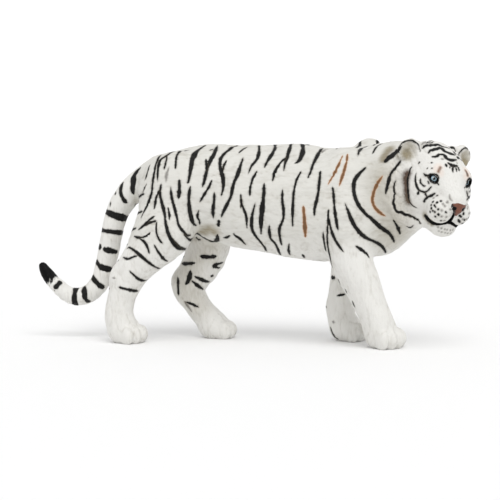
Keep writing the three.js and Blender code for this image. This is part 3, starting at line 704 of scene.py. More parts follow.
FLANK_BLACK = [
    # rump
    (0.35, [(-32.5, 32), (-33.3, 46), (-33.8, 50)]),
    (0.25, [(-33, 56), (-33.8, 62), (-34.5, 68)]),
    (0.45, [(-26, 5), (-29, 26), (-30, 37), (-30.3, 47), (-30.8, 58), (-30.9, 67), (-32.2, 82),
            (-34.8, 105)]),
    (0.45, [(-24, 22), (-26.6, 30), (-28.5, 33), (-29, 41), (-29, 49.5), (-29, 57)]),
    (0.35, [(-26.4, 30), (-26.4, 37), (-26.8, 45)]),
    (0.40, [(-19.6, 13), (-22, 19), (-23, 30), (-23, 38), (-23, 44.5)]),
    # loin
    (0.75, [(-14.6, 5), (-17, 19), (-17.7, 30.5), (-17.9, 41), (-18.2, 50), (-18.7, 58)]),
    (0.65, [(-10.6, 8), (-10.8, 23), (-11.9, 34), (-12.8, 47), (-13.2, 54), (-13.9, 60.5)]),
    (0.45, [(-13.3, 30), (-12.8, 38), (-12.8, 43)]),
    (0.30, [(-12.8, 18), (-11.4, 16)]),
    (0.60, [(-4, 3), (-6.3, 17), (-8.2, 27), (-8.3, 37), (-7.3, 47), (-6.8, 55), (-6.9, 62), (-7.5, 71)]),
    (0.40, [(-6.3, 30), (-7, 37), (-7.3, 43)]),
    (0.35, [(-0.3, 8), (-2.7, 20)]),
    (0.60, [(-0.9, 27), (-1.5, 36), (-2.4, 47), (-3.5, 57), (-4.2, 70), (-5.4, 80), (-6.9, 92), (-7.8, 101)]),
    # back
    (0.45, [(4.3, 42), (3, 50), (2.3, 59), (2.1, 70)]),
    (0.50, [(3.2, 3), (4.1, 18), (3.8, 28), (2.5, 35), (1.3, 45)]),
    (0.60, [(8.3, -3), (9.2, 14), (8.3, 25), (7.2, 32.5), (6.6, 39)]),
    (0.55, [(13.9, -4), (14.3, 11), (14, 27), (13.5, 34), (13.2, 43)]),
    (0.50, [(13.6, 28), (11.6, 35.5), (10.5, 42), (9.8, 50), (9.7, 54)]),
    (0.75, [(17.4, -2), (18.3, 9), (18.8, 18), (18.6, 26.5), (17.8, 33), (16.7, 35.5)]),
    (0.45, [(18.5, 9), (20.7, 0)]),
    (0.50, [(25, 5), (24, 21), (22.9, 32), (22.1, 42), (21.3, 50)]),
    # ribs
    (0.45, [(19, 43), (17.7, 52), (16.9, 64.5), (16.6, 79), (16.4, 93), (16.4, 108)]),
    (0.50, [(25.3, 42), (25.1, 55), (24.7, 68), (23.8, 82), (23.6, 93)]),
    (0.75, [(6.9, 55), (6.8, 70), (6.3, 85), (5.8, 101), (5.5, 124)]),
    (0.50, [(4, 78), (3.3, 88), (2.6, 101), (2.5, 115), (3.3, 127), (4.8, 138), (6.1, 152), (6.1, 165)]),
    (0.50, [(13.1, 62), (13.1, 75), (13.5, 87), (13.3, 98), (12, 110), (11.8, 121), (12.2, 139)]),
    (0.50, [(8.6, 107), (8.4, 117), (8.6, 129), (9.9, 137), (10.7, 149), (11, 166)]),
    (0.40, [(14.8, 133), (14.3, 146), (14.4, 160)]),
    (0.40, [(18.8, 152), (19.2, 163)]),
    # belly and the fold before the haunch
    (0.55, [(-27.6, 59), (-28, 69), (-27.4, 82), (-26.1, 97), (-25.2, 109), (-22.6, 128), (-20.6, 138)]),
    (0.45, [(-28.2, 66), (-29.3, 75), (-29.8, 86), (-30, 91)]),
    (0.50, [(-24.4, 62), (-23.9, 77), (-22.7, 94), (-21.6, 108), (-20.1, 117), (-18.3, 130)]),
    (0.40, [(-25.2, 88), (-24.8, 94), (-24.4, 103)]),
    (0.60, [(-21.6, 54), (-21.4, 62), (-21.6, 70), (-21.8, 77)]),
    (0.65, [(-17.8, 60.5), (-18.3, 72), (-18.3, 88), (-17.9, 103), (-17.4, 113), (-16.6, 122)]),
    (0.45, [(-10.6, 53), (-11.6, 60), (-13.3, 70), (-14.8, 79)]),
    (0.40, [(-15.3, 91), (-15.9, 102), (-15.4, 109), (-15.5, 119)]),
    (0.55, [(-9.8, 66), (-9.9, 77), (-10.4, 89), (-10.5, 104)]),
    (0.60, [(-8.6, 105.5), (-8.8, 112), (-9.2, 118.5)]),
    (0.35, [(-0.9, 67), (-0.8, 77), (-0.9, 86)]),
    (0.40, [(-0.7, 72), (-0.7, 79), (0.3, 89), (0.9, 100), (0.8, 116)]),
    (0.50, [(-7.9, 142), (-6.6, 138.5), (-5.3, 133)]),
    (0.50, [(-3.7, 126), (-3.8, 131), (-2, 138), (-0.4, 152)]),
]
FLANK_BROWN = [(0.6, [(20, 80), (20.3, 94), (20.4, 109), (20.4, 122)])]
FLANK_GREY = [
    (0.35, [(-25.2, 43), (-25.8, 49), (-26, 57)]),
    (0.25, [(26.5, 7), (24.9, 18)]),
    (0.25, [(23.5, 165), (25, 168)]),
]

HAUNCH = [
    (0.90, [(-17.4, 37), (-16.4, 36), (-15, 35), (-13.4, 34.1)]),
    (0.70, [(-14.4, 34.4), (-12.4, 33.9), (-10.9, 34.5), (-10.1, 35.4), (-9.6, 37)]),
    (0.45, [(-20.1, 37.3), (-18.3, 34.7), (-17, 34.5)]),
    (0.55, [(-23.9, 36.6), (-22.2, 33.8), (-20.2, 31.9)]),
    (0.50, [(-29.5, 43.2), (-31.5, 41.8), (-33.5, 39.9), (-35.6, 38.4)]),
    (0.50, [(-28.6, 41.6), (-31.2, 41), (-33.3, 39.8)]),
    (0.35, [(-28.6, 41.5), (-28.6, 38.8), (-27.9, 36.2), (-26.4, 34)]),
    (0.40, [(-37, 36.4), (-34.9, 36), (-32.2, 36.6), (-30.6, 37.9)]),
    (0.45, [(-34.9, 35.9), (-33, 34.9), (-31.8, 33.3), (-31.4, 31.9), (-31.1, 30.7)]),
    (0.45, [(-29.4, 33.9), (-28, 31.2), (-26.8, 29), (-25.8, 27.9)]),
]
RIGHT_SHANK = [
    (0.50, [(-39.6, 32), (-38.7, 32.6), (-36.2, 31.6), (-33.3, 29.4), (-31, 27.2), (-28.8, 25.4),
            (-27.8, 25.4)]),
    (0.40, [(-40.9, 29.3), (-38.8, 28.8), (-36.8, 29.6), (-35.2, 30)]),
    (0.45, [(-38.3, 25), (-36.6, 23.2), (-35.4, 22), (-34, 21.3), (-32.4, 21.9)]),
    (0.50, [(-42.4, 19.3), (-39.9, 18.7), (-37.8, 18.1), (-35.6, 17.4)]),
]
RIGHT_SHANK_GREY = [(0.3, [(-44.7, 22.3), (-43.4, 22.2)])]
LEFT_HIND = [
    (0.60, [(-24.6, 31.4), (-24, 31), (-23.3, 30.7)]),
    (0.60, [(-24.9, 25.9), (-22.2, 26), (-19.4, 26.4)]),
    (0.70, [(-17.8, 28.8), (-15.5, 28.5), (-12, 28.7)]),
    (0.50, [(-9.8, 26.5), (-11.8, 25.9), (-13.4, 25.3), (-11.5, 24.3)]),
    (0.80, [(-21.1, 23.8), (-21.4, 21.9), (-22.2, 19.9), (-23, 18.8)]),
    (0.60, [(-19.9, 21.8), (-18, 20.8), (-14.7, 19.1)]),
    (0.55, [(-20.9, 20.3), (-19, 18.6), (-16.6, 15.9)]),
    (0.50, [(-26, 21.3), (-25.7, 18.8), (-25.7, 14.9)]),
    (0.50, [(-14.6, 21.9), (-13.8, 21.5)]),
    (0.45, [(-23.5, 12.8), (-20.8, 12), (-18.4, 10.9)]),
    (0.40, [(-8.4, 31.5), (-8.6, 30.5)]),
]
LEFT_HIND_GREY = [(0.35, [(-23.5, 12.8), (-22.4, 11.1), (-21, 9.2)])]
LEFT_FORE = [
    (0.65, [(27, 21.8), (28.6, 21.7)]),
    (0.40, [(29.2, 15.7), (32.3, 16.4)]),
    (0.45, [(26.9, 4.8), (27.6, 2.8), (28.6, 1.3), (29.8, 0.6)]),
    (0.30, [(24.8, 11.5), (25.6, 11.5)]),
]
LEFT_FORE_GREY = [(0.35, [(27.7, 6.8), (28.6, 6.6)])]

SHOULDER = [
    (0.66, [(40.3, 59.6), (38.2, 57.5), (36.5, 55), (36.5, 51.4), (37.8, 47.8), (40, 44.8), (42.5, 42.4),
            (45.2, 39.9), (47.6, 38.1), (48.8, 36.3), (49.3, 34.7)]),
    (0.60, [(33.7, 48), (34.9, 45.3), (36.3, 41.7), (38.2, 38.8), (40.3, 36.7), (42.9, 35.3), (45, 33.8),
            (46.1, 32), (46.3, 31)]),
    (0.50, [(29.5, 53.2), (30, 50), (30.4, 46.4), (30.9, 42.8), (31.6, 38.9)]),
    (0.50, [(28.4, 45.8), (28.3, 42.8), (28.9, 40.6), (29.6, 38.1), (30.9, 35.3), (33.4, 32)]),
    (0.40, [(28.3, 42.8), (28, 39.2), (27.8, 35.6), (28.2, 31.7), (29.3, 26.5)]),
    (0.40, [(26.5, 38.5), (26.6, 35.6), (27.1, 31.7)]),
    (0.50, [(40, 66.3), (38, 65.5), (37.6, 64.3), (37.3, 63)]),
    (0.40, [(44.8, 67.2), (43.2, 66.1), (42.1, 63.8)]),
    (0.85, [(51.9, 66.3), (49.8, 64.4), (47.6, 62.4), (46.1, 61)]),
    (0.55, [(51.7, 61.8), (50.1, 59.6), (48.5, 57.5), (47.8, 55.3), (47.2, 52.8), (46.8, 50.9)]),
    (0.50, [(49.2, 42.6), (50.3, 40.6), (51.3, 37.6)]),
    (0.50, [(37.1, 34.2), (39.2, 32.6), (40.7, 31.2), (41.4, 29.9)]),
    (0.35, [(31.1, 23), (31.8, 20.8)]),
    (0.30, [(33.5, 19.6), (34.2, 18)]),
    (0.35, [(35.9, 15.8), (36.8, 13.4)]),
]
SHOULDER_BROWN = [
    (0.40, [(32.5, 63.4), (31.3, 60.4), (29.8, 57.1), (28, 53.9)]),
    (0.45, [(34, 63.8), (33.8, 61.1), (32.9, 57.5), (31.6, 53.2)]),
    (0.55, [(45.8, 56.8), (43.9, 53.9), (42.7, 50.7), (42.5, 48.2), (43.9, 45.7), (46.8, 43.5)]),
]

TAIL_RINGS = [
    (1.00, [(4.5, 30), (7, 50), (8.3, 75), (9.8, 95), (11, 115)]),
    (0.70, [(11, 30), (12.5, 45), (13.8, 65), (14.7, 90), (15.3, 120)]),
    (0.45, [(15, 28), (15.6, 45)]),
    (0.30, [(18.2, 38), (19.6, 52)]),
    (1.10, [(21.5, -20), (21.5, 60), (21.5, 120), (21.5, 200)]),
    (0.75, [(27.6, -15), (27.5, 60), (27.2, 120), (27.2, 200)]),
    (0.90, [(33.4, 10), (33.4, 35), (33.4, 56)]),
    (0.90, [(33.7, 66), (33.8, 110), (34, 160)]),
    (0.95, [(38.6, 20), (39.2, 55), (40, 80), (40.3, 165)]),
    (0.85, [(45, 25), (45.5, 65), (46, 95), (46, 145)]),
    (0.85, [(51, 20), (51.8, 75), (52.3, 105), (52, 160)]),
    (0.90, [(55.8, -10), (55.8, 60), (55.8, 120), (55.8, 190)]),
    (0.80, [(63.5, 25), (63.5, 65), (63.5, 110)]),
    (0.40, [(63, 115), (63, 125)]),
]

CHEEK_BLACK = [
    # edge of the ruff
    (0.40, [(-94, 0.5), (-94.3, -5), (-94, -9.5), (-92.5, -14), (-90.6, -18.5), (-89.8, -22), (-90, -27),
            (-88.2, -31), (-86, -35), (-83, -38), (-79, -40), (-76, -42), (-71.5, -44.5), (-66, -47),
            (-61, -48.5), (-55, -50.5), (-50, -51), (-45, -52), (-40.5, -56)]),
    # the brown smudge's dark front
    (0.45, [(-82, 29), (-82, 24), (-81, 18.5), (-80, 13), (-77.5, 4), (-72, -4.5), (-69, -12), (-67, -17.5),
            (-68, -22), (-67.5, -27.5), (-63, -32), (-57, -34.5), (-52, -36)]),
    # cheek arc and what leaves it
    (0.38, [(-64.4, 20.5), (-62.8, 15), (-60.2, 9.5), (-56.8, 4), (-52.6, -1), (-49.6, -3.2), (-45.7, -4),
            (-41.4, -4.3), (-38, -2), (-35.5, 1.5), (-33, 6)]),
    (0.40, [(-49.5, -5), (-50.3, -8), (-51, -10.5)]),
    (0.30, [(-40.2, -4.8), (-38.8, -8), (-37, -10.3)]),
    (0.42, [(-25.5, -3), (-28.2, -5.2), (-30.8, -8), (-34.7, -10.3), (-37, -13), (-39, -16), (-39.5, -21)]),
    (0.30, [(-52.8, 14), (-50.5, 8), (-46.8, 5.5), (-43.6, 4), (-41.6, 5)]),
    (0.25, [(-40, 12.5), (-38.8, 10.3), (-37, 8.5)]),
    # round the eye
    (0.36, [(-50.3, 22), (-46.2, 19.7), (-42, 19.3), (-39, 20.5), (-35, 22.5), (-32, 23), (-29, 22.5),
            (-26.5, 20.5), (-25, 18)]),
    (0.34, [(-42, 18.5), (-39, 15.5), (-35.5, 12.8), (-31, 11.8), (-27, 12.3), (-24.7, 11.6), (-22.8, 9.5)]),
    (0.30, [(-68, 40), (-72, 37)]),
    # above the eye
    (0.32, [(-44, 41.5), (-41, 39.5)]),
    (0.30, [(-47, 30), (-45, 29.5)]),
    (0.30, [(-39.4, 31), (-37.6, 29.5)]),
]
CHEEK_SPOTS = [(-71.5, -44.5), (-64, -47.5), (-55, -50.5), (-48, -51.5), (-41, -55)]
FOREHEAD_BLACK = [
    (0.70, [(-61, 57), (-62, 61), (-60, 65), (-51.5, 69), (-44, 73), (-36, 76.5), (-25, 76), (-19, 72),
            (-14, 67.5), (-4, 65), (6, 63.5), (15, 62.5), (22, 61)]),
    (0.57, [(-49, 53), (-44, 52.5), (-36, 53.5), (-32.5, 58), (-24, 59), (-18, 58.5), (-15, 53.5),
            (-11, 51), (-3.7, 49.7), (6, 51), (15, 52.5)]),
    (0.54, [(-13, 44.5), (-4, 41), (1, 41), (9.4, 41.5)]),
    (0.38, [(-17, 42.5), (-15.6, 40), (-14.5, 37)]),
    (0.20, [(-9, 39), (-8.5, 36)]),
    (0.34, [(-2, 40), (-3.4, 35), (-3.3, 30.5)]),
    (0.30, [(3.8, 39), (4.2, 35.5), (4.2, 32)]),
    (0.35, [(9, 40), (10, 37), (10.8, 34)]),
    # a painted shadow beside the nose, towards the left whisker pad
    (0.40, [(7, -9.3), (10, -8.4), (13.5, -7.8)]),
    # left whisker pad
    (0.36, [(5, -19), (8.5, -20.5)]),
    (0.34, [(9.3, -15), (9.4, -18)]),
    (0.40, [(6, -23.5), (8, -25.5), (10.5, -27.5)]),
    (0.34, [(12, -21.5), (14.5, -24)]),
    # right whisker pad
    (0.28, [(-26.2, -13.8), (-23.2, -15.6)]),
    (0.28, [(-14, -16.3), (-11, -17.7)]),
]
FOREHEAD_GREY = [
    (0.30, [(-27, 49.5), (-20, 50)]),
    (0.40, [(-98, 62), (-100, 66), (-102, 71), (-105, 79)]),
    (0.30, [(27, 32), (26, 27)]),
    (0.30, [(38, 6), (37, 0)]),
    (0.20, [(-11, 1), (-10.8, -2.5), (-8.5, -4.5)]),
    (0.30, [(9, 46), (10.5, 46)]),
]
CROWN = [  # on the head, before and between the ears
    (0.62, [(-0.3, -6.6), (0.1, -4), (0.7, -2.1), (1.3, -0.8), (2.2, 0.4), (2.8, 1.8)]),
    (0.45, [(-2.5, -4.8), (-2, -3.2), (-1.4, -2)]),
    (0.50, [(-0.8, 6.6), (-0.8, 4.6), (-0.2, 3.2)]),
]
NAPE = [
    (0.45, [(-4.1, -0.2), (-4.4, -2), (-5, -3.9)]),
    (0.50, [(-7.2, 0), (-7.5, -2.6), (-8.4, -5.2)]),
    (0.50, [(-10.6, -0.4), (-11, -3.4), (-12.2, -6.4)]),
]
SPINE = [  # across the back, ahead of the flank's strokes and behind them
    (0.45, [(29.5, -32), (30.5, -16), (30.2, -2), (29.5, 8)]),
    (0.50, [(35.8, -44), (36.5, -24), (36.5, -6), (36, 7)]),
    (0.50, [(41.8, -40), (42.5, -22), (42.4, -6), (42, 7)]),
    (0.55, [(47, -48), (48, -30), (48, -12), (47.5, 5)]),
    (0.45, [(-34.6, -52), (-36, -34), (-36.6, -16), (-36.4, 6)]),
    (0.45, [(-38.2, -60), (-39.6, -40), (-40.4, -20), (-40.2, 2)]),
    (0.35, [(-31, -30), (-31.8, -16), (-32, -4)]),
]
RIGHT_THROAT = [(0.40, [(53.6, 40.6), (54.5, 39.8), (55.9, 41)])]
LEFT_NECK = [
    (0.50, [(57.5, 60), (56, 55), (56.8, 50)]),
    (0.50, [(62.5, 62), (61.4, 57), (62.2, 51.5)]),
    (0.45, [(66.5, 60.5), (65.8, 56), (66.6, 52)]),
]
REAR = [
    (0.45, [(-5.5, 50), (-8.5, 49), (-12, 50.5)]),
    (0.50, [(-5.5, 45), (-8.5, 43.6), (-12.5, 44.6)]),
    (0.50, [(-5.5, 39.5), (-9, 38), (-13, 39)]),
    (0.45, [(-5.5, 34), (-9, 32.6), (-12.5, 33.6)]),
    (0.40, [(-6, 28.4), (-9, 27.6), (-12, 28.2)]),
    (0.40, [(-6.4, 18.6), (-9, 18), (-11.6, 18.5)]),
]
LEFT_FOREHEAD = [
    (0.60, [(27, 63), (34, 67), (46, 69.5), (54, 66), (59, 60)]),
    (0.50, [(20, 54), (28, 57), (36, 55), (44, 52)]),
]
WHISKER_SPOTS = [
    (-27.4, -12.5), (-23, -10.7), (-18.9, -8.3), (-28.8, -16), (-21, -16), (-28, -18.5),
    (-25.9, -20), (-23.7, -20), (-28.3, -23), (-19.6, -21), (-14.4, -27.5), (-22.7, -5.5), (-22, -24.5),
]
LIP_MARKS = {-38: (-13.5, -9, -4.5, -1, 4, 8.5), -41.5: (-11, -7, -2, 2, 7)}  # rise: turns
FAINT_SPOTS = [
    (-16.8, -10.2), (-12.5, -7.5), (-14.6, -11.5), (-17.3, -16), (-8, -13.5), (-15.9, -22), (-10.4, -22),
    (-10.5, -27), (-27, -9.5),
]

LAYERS = 6  # strokes of one layer do not touch each other
DRIFT = (0.5, 1.2)  # how far the left flank's strokes wander, in the chart's units
HAUNCH_SHIFT, SHOULDER_SHIFT = (4, 0), (-1, 0.5)  # of the left side's, whose legs are elsewhere in the stride
EDGE, FINE_EDGE = 0.75, 0.4  # skin kept round a stroke's own width, in mm: body, head
HEAD_ROOM = 19  # strokes this near the head's centre keep the finer edge
BOLD = 1.1  # all strokes' widths
EMPTY = -10.0  # the half width where a layer holds no stroke
POINT = 0.35  # how pointed a stroke ends: 0 is blunt
HOLLOW_SPAN = 4.0  # a hollow, which gets painted shade, is where flesh is nearer than this, straight off the skin
TIP_FRONT, TIP_TOP = -55, 34  # the tail's tip lies behind this x and below this height
CHEEK_SPOT, WHISKER_SPOT, FAINT_SPOT, LIP_SPOT = 0.45, 0.42, 0.36, 0.26  # radii in mm


def ear_line(side, depth, grow, spread):
    """Points on the skin round an ear, as many degrees either way from its tip."""
    shape = ear(side)
    tip = 90 - side * EAR_TIP
    line = []
    for angle in np.radians(np.arange(tip - spread, tip + spread + 1, 15)):
        across, up = (shape.radii[1] + grow) * math.cos(angle), (shape.radii[2] + grow) * math.sin(angle)
        spot, normal, _, _ = surface.find_nearest(Vector(shape.centre + shape.turn @ (depth, across, up)))
        line.append((np.array(spot), np.array(normal)))
    return line


def chart_line(chart, marks, steps=6):
    """The skin under a smooth line through the marks; parts that miss the skin are left out."""
    return [hit for mark in spline(marks, steps) if (hit := chart(*mark)) is not None]


def measured(line, facing, reach):
    """The skin's points near a line: which, how far along it from 0 to 1, off it and past its ends."""
    low, high = line.min(0) - reach, line.max(0) + reach
    near = np.flatnonzero(((skin_points > low) & (skin_points < high)).all(1))
    starts, spans = line[:-1], np.diff(line, axis=0)
    lengths = np.maximum(np.linalg.norm(spans, axis=1), 1e-6)
    gap = skin_points[near, None] - starts
    reached = (gap * spans).sum(2) / lengths ** 2
    held = np.clip(reached, 0, 1)
    gap -= held[..., None] * spans
    away = np.linalg.norm(gap, axis=2)
    best = away.argmin(1)
    rows = np.arange(len(near))
    middle = facing[:-1] + facing[1:]
    side = np.cross(middle, spans)
    side /= np.maximum(np.linalg.norm(side, axis=1, keepdims=True), 1e-6)
    offset = (gap[rows, best] * side[best]).sum(1)
    past = np.abs(reached - held)[rows, best] * lengths[best]
    along = (np.cumsum(lengths)[best] - (1 - held[rows, best]) * lengths[best]) / lengths.sum()
    same_face = (skin_normals[near] * middle[best]).sum(1) > 0.2
    kept = same_face & (away[rows, best] < reach) & (past < reach)
    return near[kept], along[kept], offset[kept], past[kept]


class Brush:
    """Lays strokes on the skin: for each layer the offset from a line, its half width and its tone."""

    def __init__(self):
        self.layers = np.zeros((LAYERS, len(skin_points), 3), np.float32)
        self.layers[:, :, 1] = EMPTY
        self.taken = np.zeros((LAYERS, len(skin_points)), bool)

    def stroke(self, hits, half_width, tone, point=POINT):
        """One stroke through places on the skin, of uneven width, that thins out at its ends."""
        if len(hits) < 2:
            return
        line, facing = (np.array(part) for part in zip(*hits))
        moved = np.concatenate([[True], np.linalg.norm(np.diff(line, axis=0), axis=1) > 1e-4])
        line, facing = line[moved], facing[moved]
        if len(line) < 2:
            return
        half_width *= BOLD
        edge = FINE_EDGE if np.linalg.norm(to_head(line.mean(0))) < HEAD_ROOM else EDGE
        near, along, offset, past = measured(line, facing, half_width + edge)
        if not len(near):
            return
        phase = rng.uniform(0, 6.28, 2)
        wobble = 1 + 0.16 * np.sin(along * 9 + phase[0]) + 0.1 * np.sin(along * 21 + phase[1])
        width = half_width * wobble * np.maximum(4 * along * (1 - along), 0) ** point - past
        self.lay(near, offset, width, tone)

    def lay(self, near, offset, width, tone):
        """Puts a mark on the layer with the most room, and takes up the triangles that it touches."""
        layer = self.taken[:, near].sum(1).argmin()
        self.layers[layer, near] = np.stack([offset, width, np.full(len(near), tone)], 1)
        touched = np.zeros(len(skin_points), bool)
        touched[near] = True
        touched[skin_triangles[touched[skin_triangles].any(1)]] = True
        self.taken[layer] |= touched

    def strokes(self, chart, tone, strokes, drift=(0, 0), shift=(0, 0), point=POINT):
        """Strokes of one tone, each moved by the shift and, at random, by about the drift."""
        for half_width, marks in strokes:
            move = rng.normal(0, 1, 2) * drift + shift
            self.stroke(chart_line(chart, np.array(marks) + move), half_width, tone, point)

    def spots(self, chart, tone, places, radius):
        """Round dots, of a radius that varies a little."""
        for place in places:
            hit = chart(*place)
            if hit is None:
                continue
            away = np.linalg.norm(skin_points - hit[0], axis=1)
            near = np.flatnonzero(away < radius + FINE_EDGE)
            width = np.full(len(near), radius * rng.uniform(0.85, 1.15))
            self.lay(near, away[near], width, tone)


rng = np.random.default_rng(12)
brush = Brush()
for chart, drift in zip(both(on_body), ((0, 0), DRIFT)):
    brush.strokes(chart, BLACK, FLANK_BLACK, drift)
    brush.strokes(chart, BROWN, FLANK_BROWN, drift)
    brush.strokes(chart, GREY, FLANK_GREY, drift)
for chart, shift in zip((on_right, on_left), ((0, 0), HAUNCH_SHIFT)):
    brush.strokes(chart, BLACK, HAUNCH, shift=shift)
for chart, shift in zip((on_right, on_left), ((0, 0), SHOULDER_SHIFT)):
    brush.strokes(chart, BLACK, SHOULDER, shift=shift)
    brush.strokes(chart, BROWN, SHOULDER_BROWN, shift=shift)
for chart in (on_right, inside_right):
    brush.strokes(chart, BLACK, RIGHT_SHANK)
    brush.strokes(chart, GREY, RIGHT_SHANK_GREY)
for chart in (inside_left, on_left):
    brush.strokes(chart, BLACK, LEFT_HIND + LEFT_FORE)
    brush.strokes(chart, GREY, LEFT_HIND_GREY + LEFT_FORE_GREY)
for chart in both(on_tail):
    brush.strokes(chart, BLACK, TAIL_RINGS, point=0.2)
for chart in both(on_head):
    brush.strokes(chart, BLACK, CHEEK_BLACK)
    brush.spots(chart, BLACK, CHEEK_SPOTS, CHEEK_SPOT)
    brush.spots(chart, BLACK, WHISKER_SPOTS, WHISKER_SPOT)
    brush.spots(chart, GREY, FAINT_SPOTS, FAINT_SPOT)
brush.strokes(on_head, BLACK, FOREHEAD_BLACK)
brush.strokes(on_head, GREY, FOREHEAD_GREY)
for rise, turns in LIP_MARKS.items():
    brush.spots(on_head, GREY, [(turn, rise) for turn in turns], LIP_SPOT)
brush.strokes(on_crown, BLACK, CROWN)
for chart in both(on_crown):
    brush.strokes(chart, BLACK, NAPE)
for chart in both(on_rear):
    brush.strokes(chart, BLACK, REAR)
brush.strokes(on_body, BLACK, SPINE)
brush.strokes(on_right, BLACK, RIGHT_THROAT)
brush.strokes(on_left, BLACK, LEFT_NECK)
brush.strokes(on_head, BLACK, LEFT_FOREHEAD)
for side in (-1, 1):
    brush.stroke(ear_line(side, 0.7, -0.1, 95), 0.3, BLACK)  # the rim
    brush.stroke(ear_line(side, -1.6, -1.4, 135), 0.95, BLACK, point=0)  # the back


# ---- Soft colour: stains and painted shade with no edge, and painted shade in the hollows ----
def stain_and_shade(spots, radius, strength):
    """How strongly a soft patch along a line of spots shows at each point of the skin."""
    line = np.array(spots)
    shown = np.zeros(len(skin_points), np.float32)
    low, high = line.min(0) - radius, line.max(0) + radius
    near = np.flatnonzero(((skin_points > low) & (skin_points < high)).all(1))
    away = np.min([np.linalg.norm(skin_points[near] - spot, axis=1) for spot in line], axis=0)
    shown[near] = strength * np.clip(1 - (away / radius) ** 2, 0, 1) ** 2
    return shown


def add_patch(tint, chart, marks, radius, strength):
    tint.append(stain_and_shade([spot for spot, _ in chart_line(chart, marks)], radius, strength))


umber, orange, grey = [], [], []
for chart in both(on_head):
    add_patch(umber, chart, [(-83, 14), (-81, 4), (-76, -4), (-73, -12), (-72, -20), (-71, -27)], 2.6, 1.2)
    add_patch(umber, chart, [(-25.6, 34.6), (-27, 31), (-27.8, 27.6)], 0.85, 1.0)  # inner corner of the eye
    add_patch(orange, chart, [(-28, 35), (-30, 30), (-25, 27)], 2.3, 0.25)
for chart in (on_right, on_left):
    add_patch(umber, chart, [(47.8, 65), (46.6, 63.6), (45.8, 62)], 1.9, 0.7)  # nape
    add_patch(grey, chart, [(48, 65.6), (46.6, 64.2), (45.6, 62.2)], 2.5, 0.8)
    add_patch(grey, chart, [(-15, 37.4), (-12.4, 38.6), (-11, 37.8)], 3.5, 0.85)  # painted shade in the fold of the haunch
    add_patch(grey, chart, [(46, 56), (47, 50), (50, 44), (49, 37)], 10, 0.42)  # painted shade under the neck and on the chest
# painted shade on the inner sides of the legs
add_patch(grey, inside_left, [(-14, 32), (-20, 26), (-23, 18), (-19, 12)], 8, 0.35)
add_patch(grey, inside_right, [(-34, 30), (-38, 24), (-41, 15)], 8, 0.35)
add_patch(grey, inside_right, [(35, 26), (39, 18)], 8, 0.3)
for side in (-1, 1):
    bowl = ear_hollow(side)
    low = bowl.centre - bowl.turn @ (0.6, side * 0.4, 1.4)
    grey.append(stain_and_shade([bowl.centre, low], 3.6, 1.1))
    umber.append(stain_and_shade([low], 2.3, 0.6))
    # painted shade in the corners of the mouth
    mouth_corner = [(11.8, 5.2, -11.8), (10.6, 5.6, -11.7), (9.4, 6, -11.3), (8.2, 6.3, -10.6)]
    mouth_corner = from_head([(x, side * y, z) for x, y, z in mouth_corner])
    grey.append(stain_and_shade(mouth_corner, 2.2, 1.3))
    umber.append(stain_and_shade(mouth_corner, 1.8, 0.8))

# painted shade: the skin darkens where other flesh lies near, straight off it
hollow = np.clip(1 - body_field(Cloud(skin_points + skin_normals * HOLLOW_SPAN)) / HOLLOW_SPAN, 0, 1)
tail_gap = np.full(len(skin_points), FAR)
on_tip = np.flatnonzero((skin_points[:, 0] < TIP_FRONT) & (skin_points[:, 2] < TIP_TOP))
reached = np.linalg.norm(skin_points[on_tip, None] - TAIL_LINE, axis=2).argmin(1)
tail_gap[on_tip] = TAIL_LENGTH[-1] - TAIL_LENGTH[reached]
skin_lie, skin_in_head = lie_of_fur(skin_points)
skin_samples = Cloud(skin_points)
lid_gap = np.min([lid_opening(side).distance(*skin_samples.axes) for side in (-1, 1)], axis=0)
lip_gap = np.min([groove.distance(*skin_samples.axes) for groove in lip_grooves()], axis=0)
nose_gap = head_ball((17.6, 0, -5.6), (1.2, 2.2, 1.2), 0).distance(*skin_samples.axes)


# ---- The skin as a piece, with all that its paint goes by ----
coat_material, coat_shader = new_material("coat_paint", (0.8, 0.8, 0.78), 0.55)
skin = mesh_object("tiger_skin", skin_points, skin_triangles, coat_material)
for number, layer in enumerate(brush.layers):
    add_attribute(skin.data, f"ink_{number}", layer)
stains_and_shade = [np.max(tint, axis=0) for tint in (umber, orange, grey)]
for name, values in (("stain_and_shade", stains_and_shade), ("form", [hollow, skin_creases, tail_gap]), ("lie", skin_lie.T),
                     ("gap", [lid_gap, lip_gap, nose_gap]), ("in_head", skin_in_head.T)):
    add_attribute(skin.data, name, np.stack(values, 1))
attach(skin, "root")
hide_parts(*[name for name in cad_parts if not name.startswith(("eye_", "nose"))])


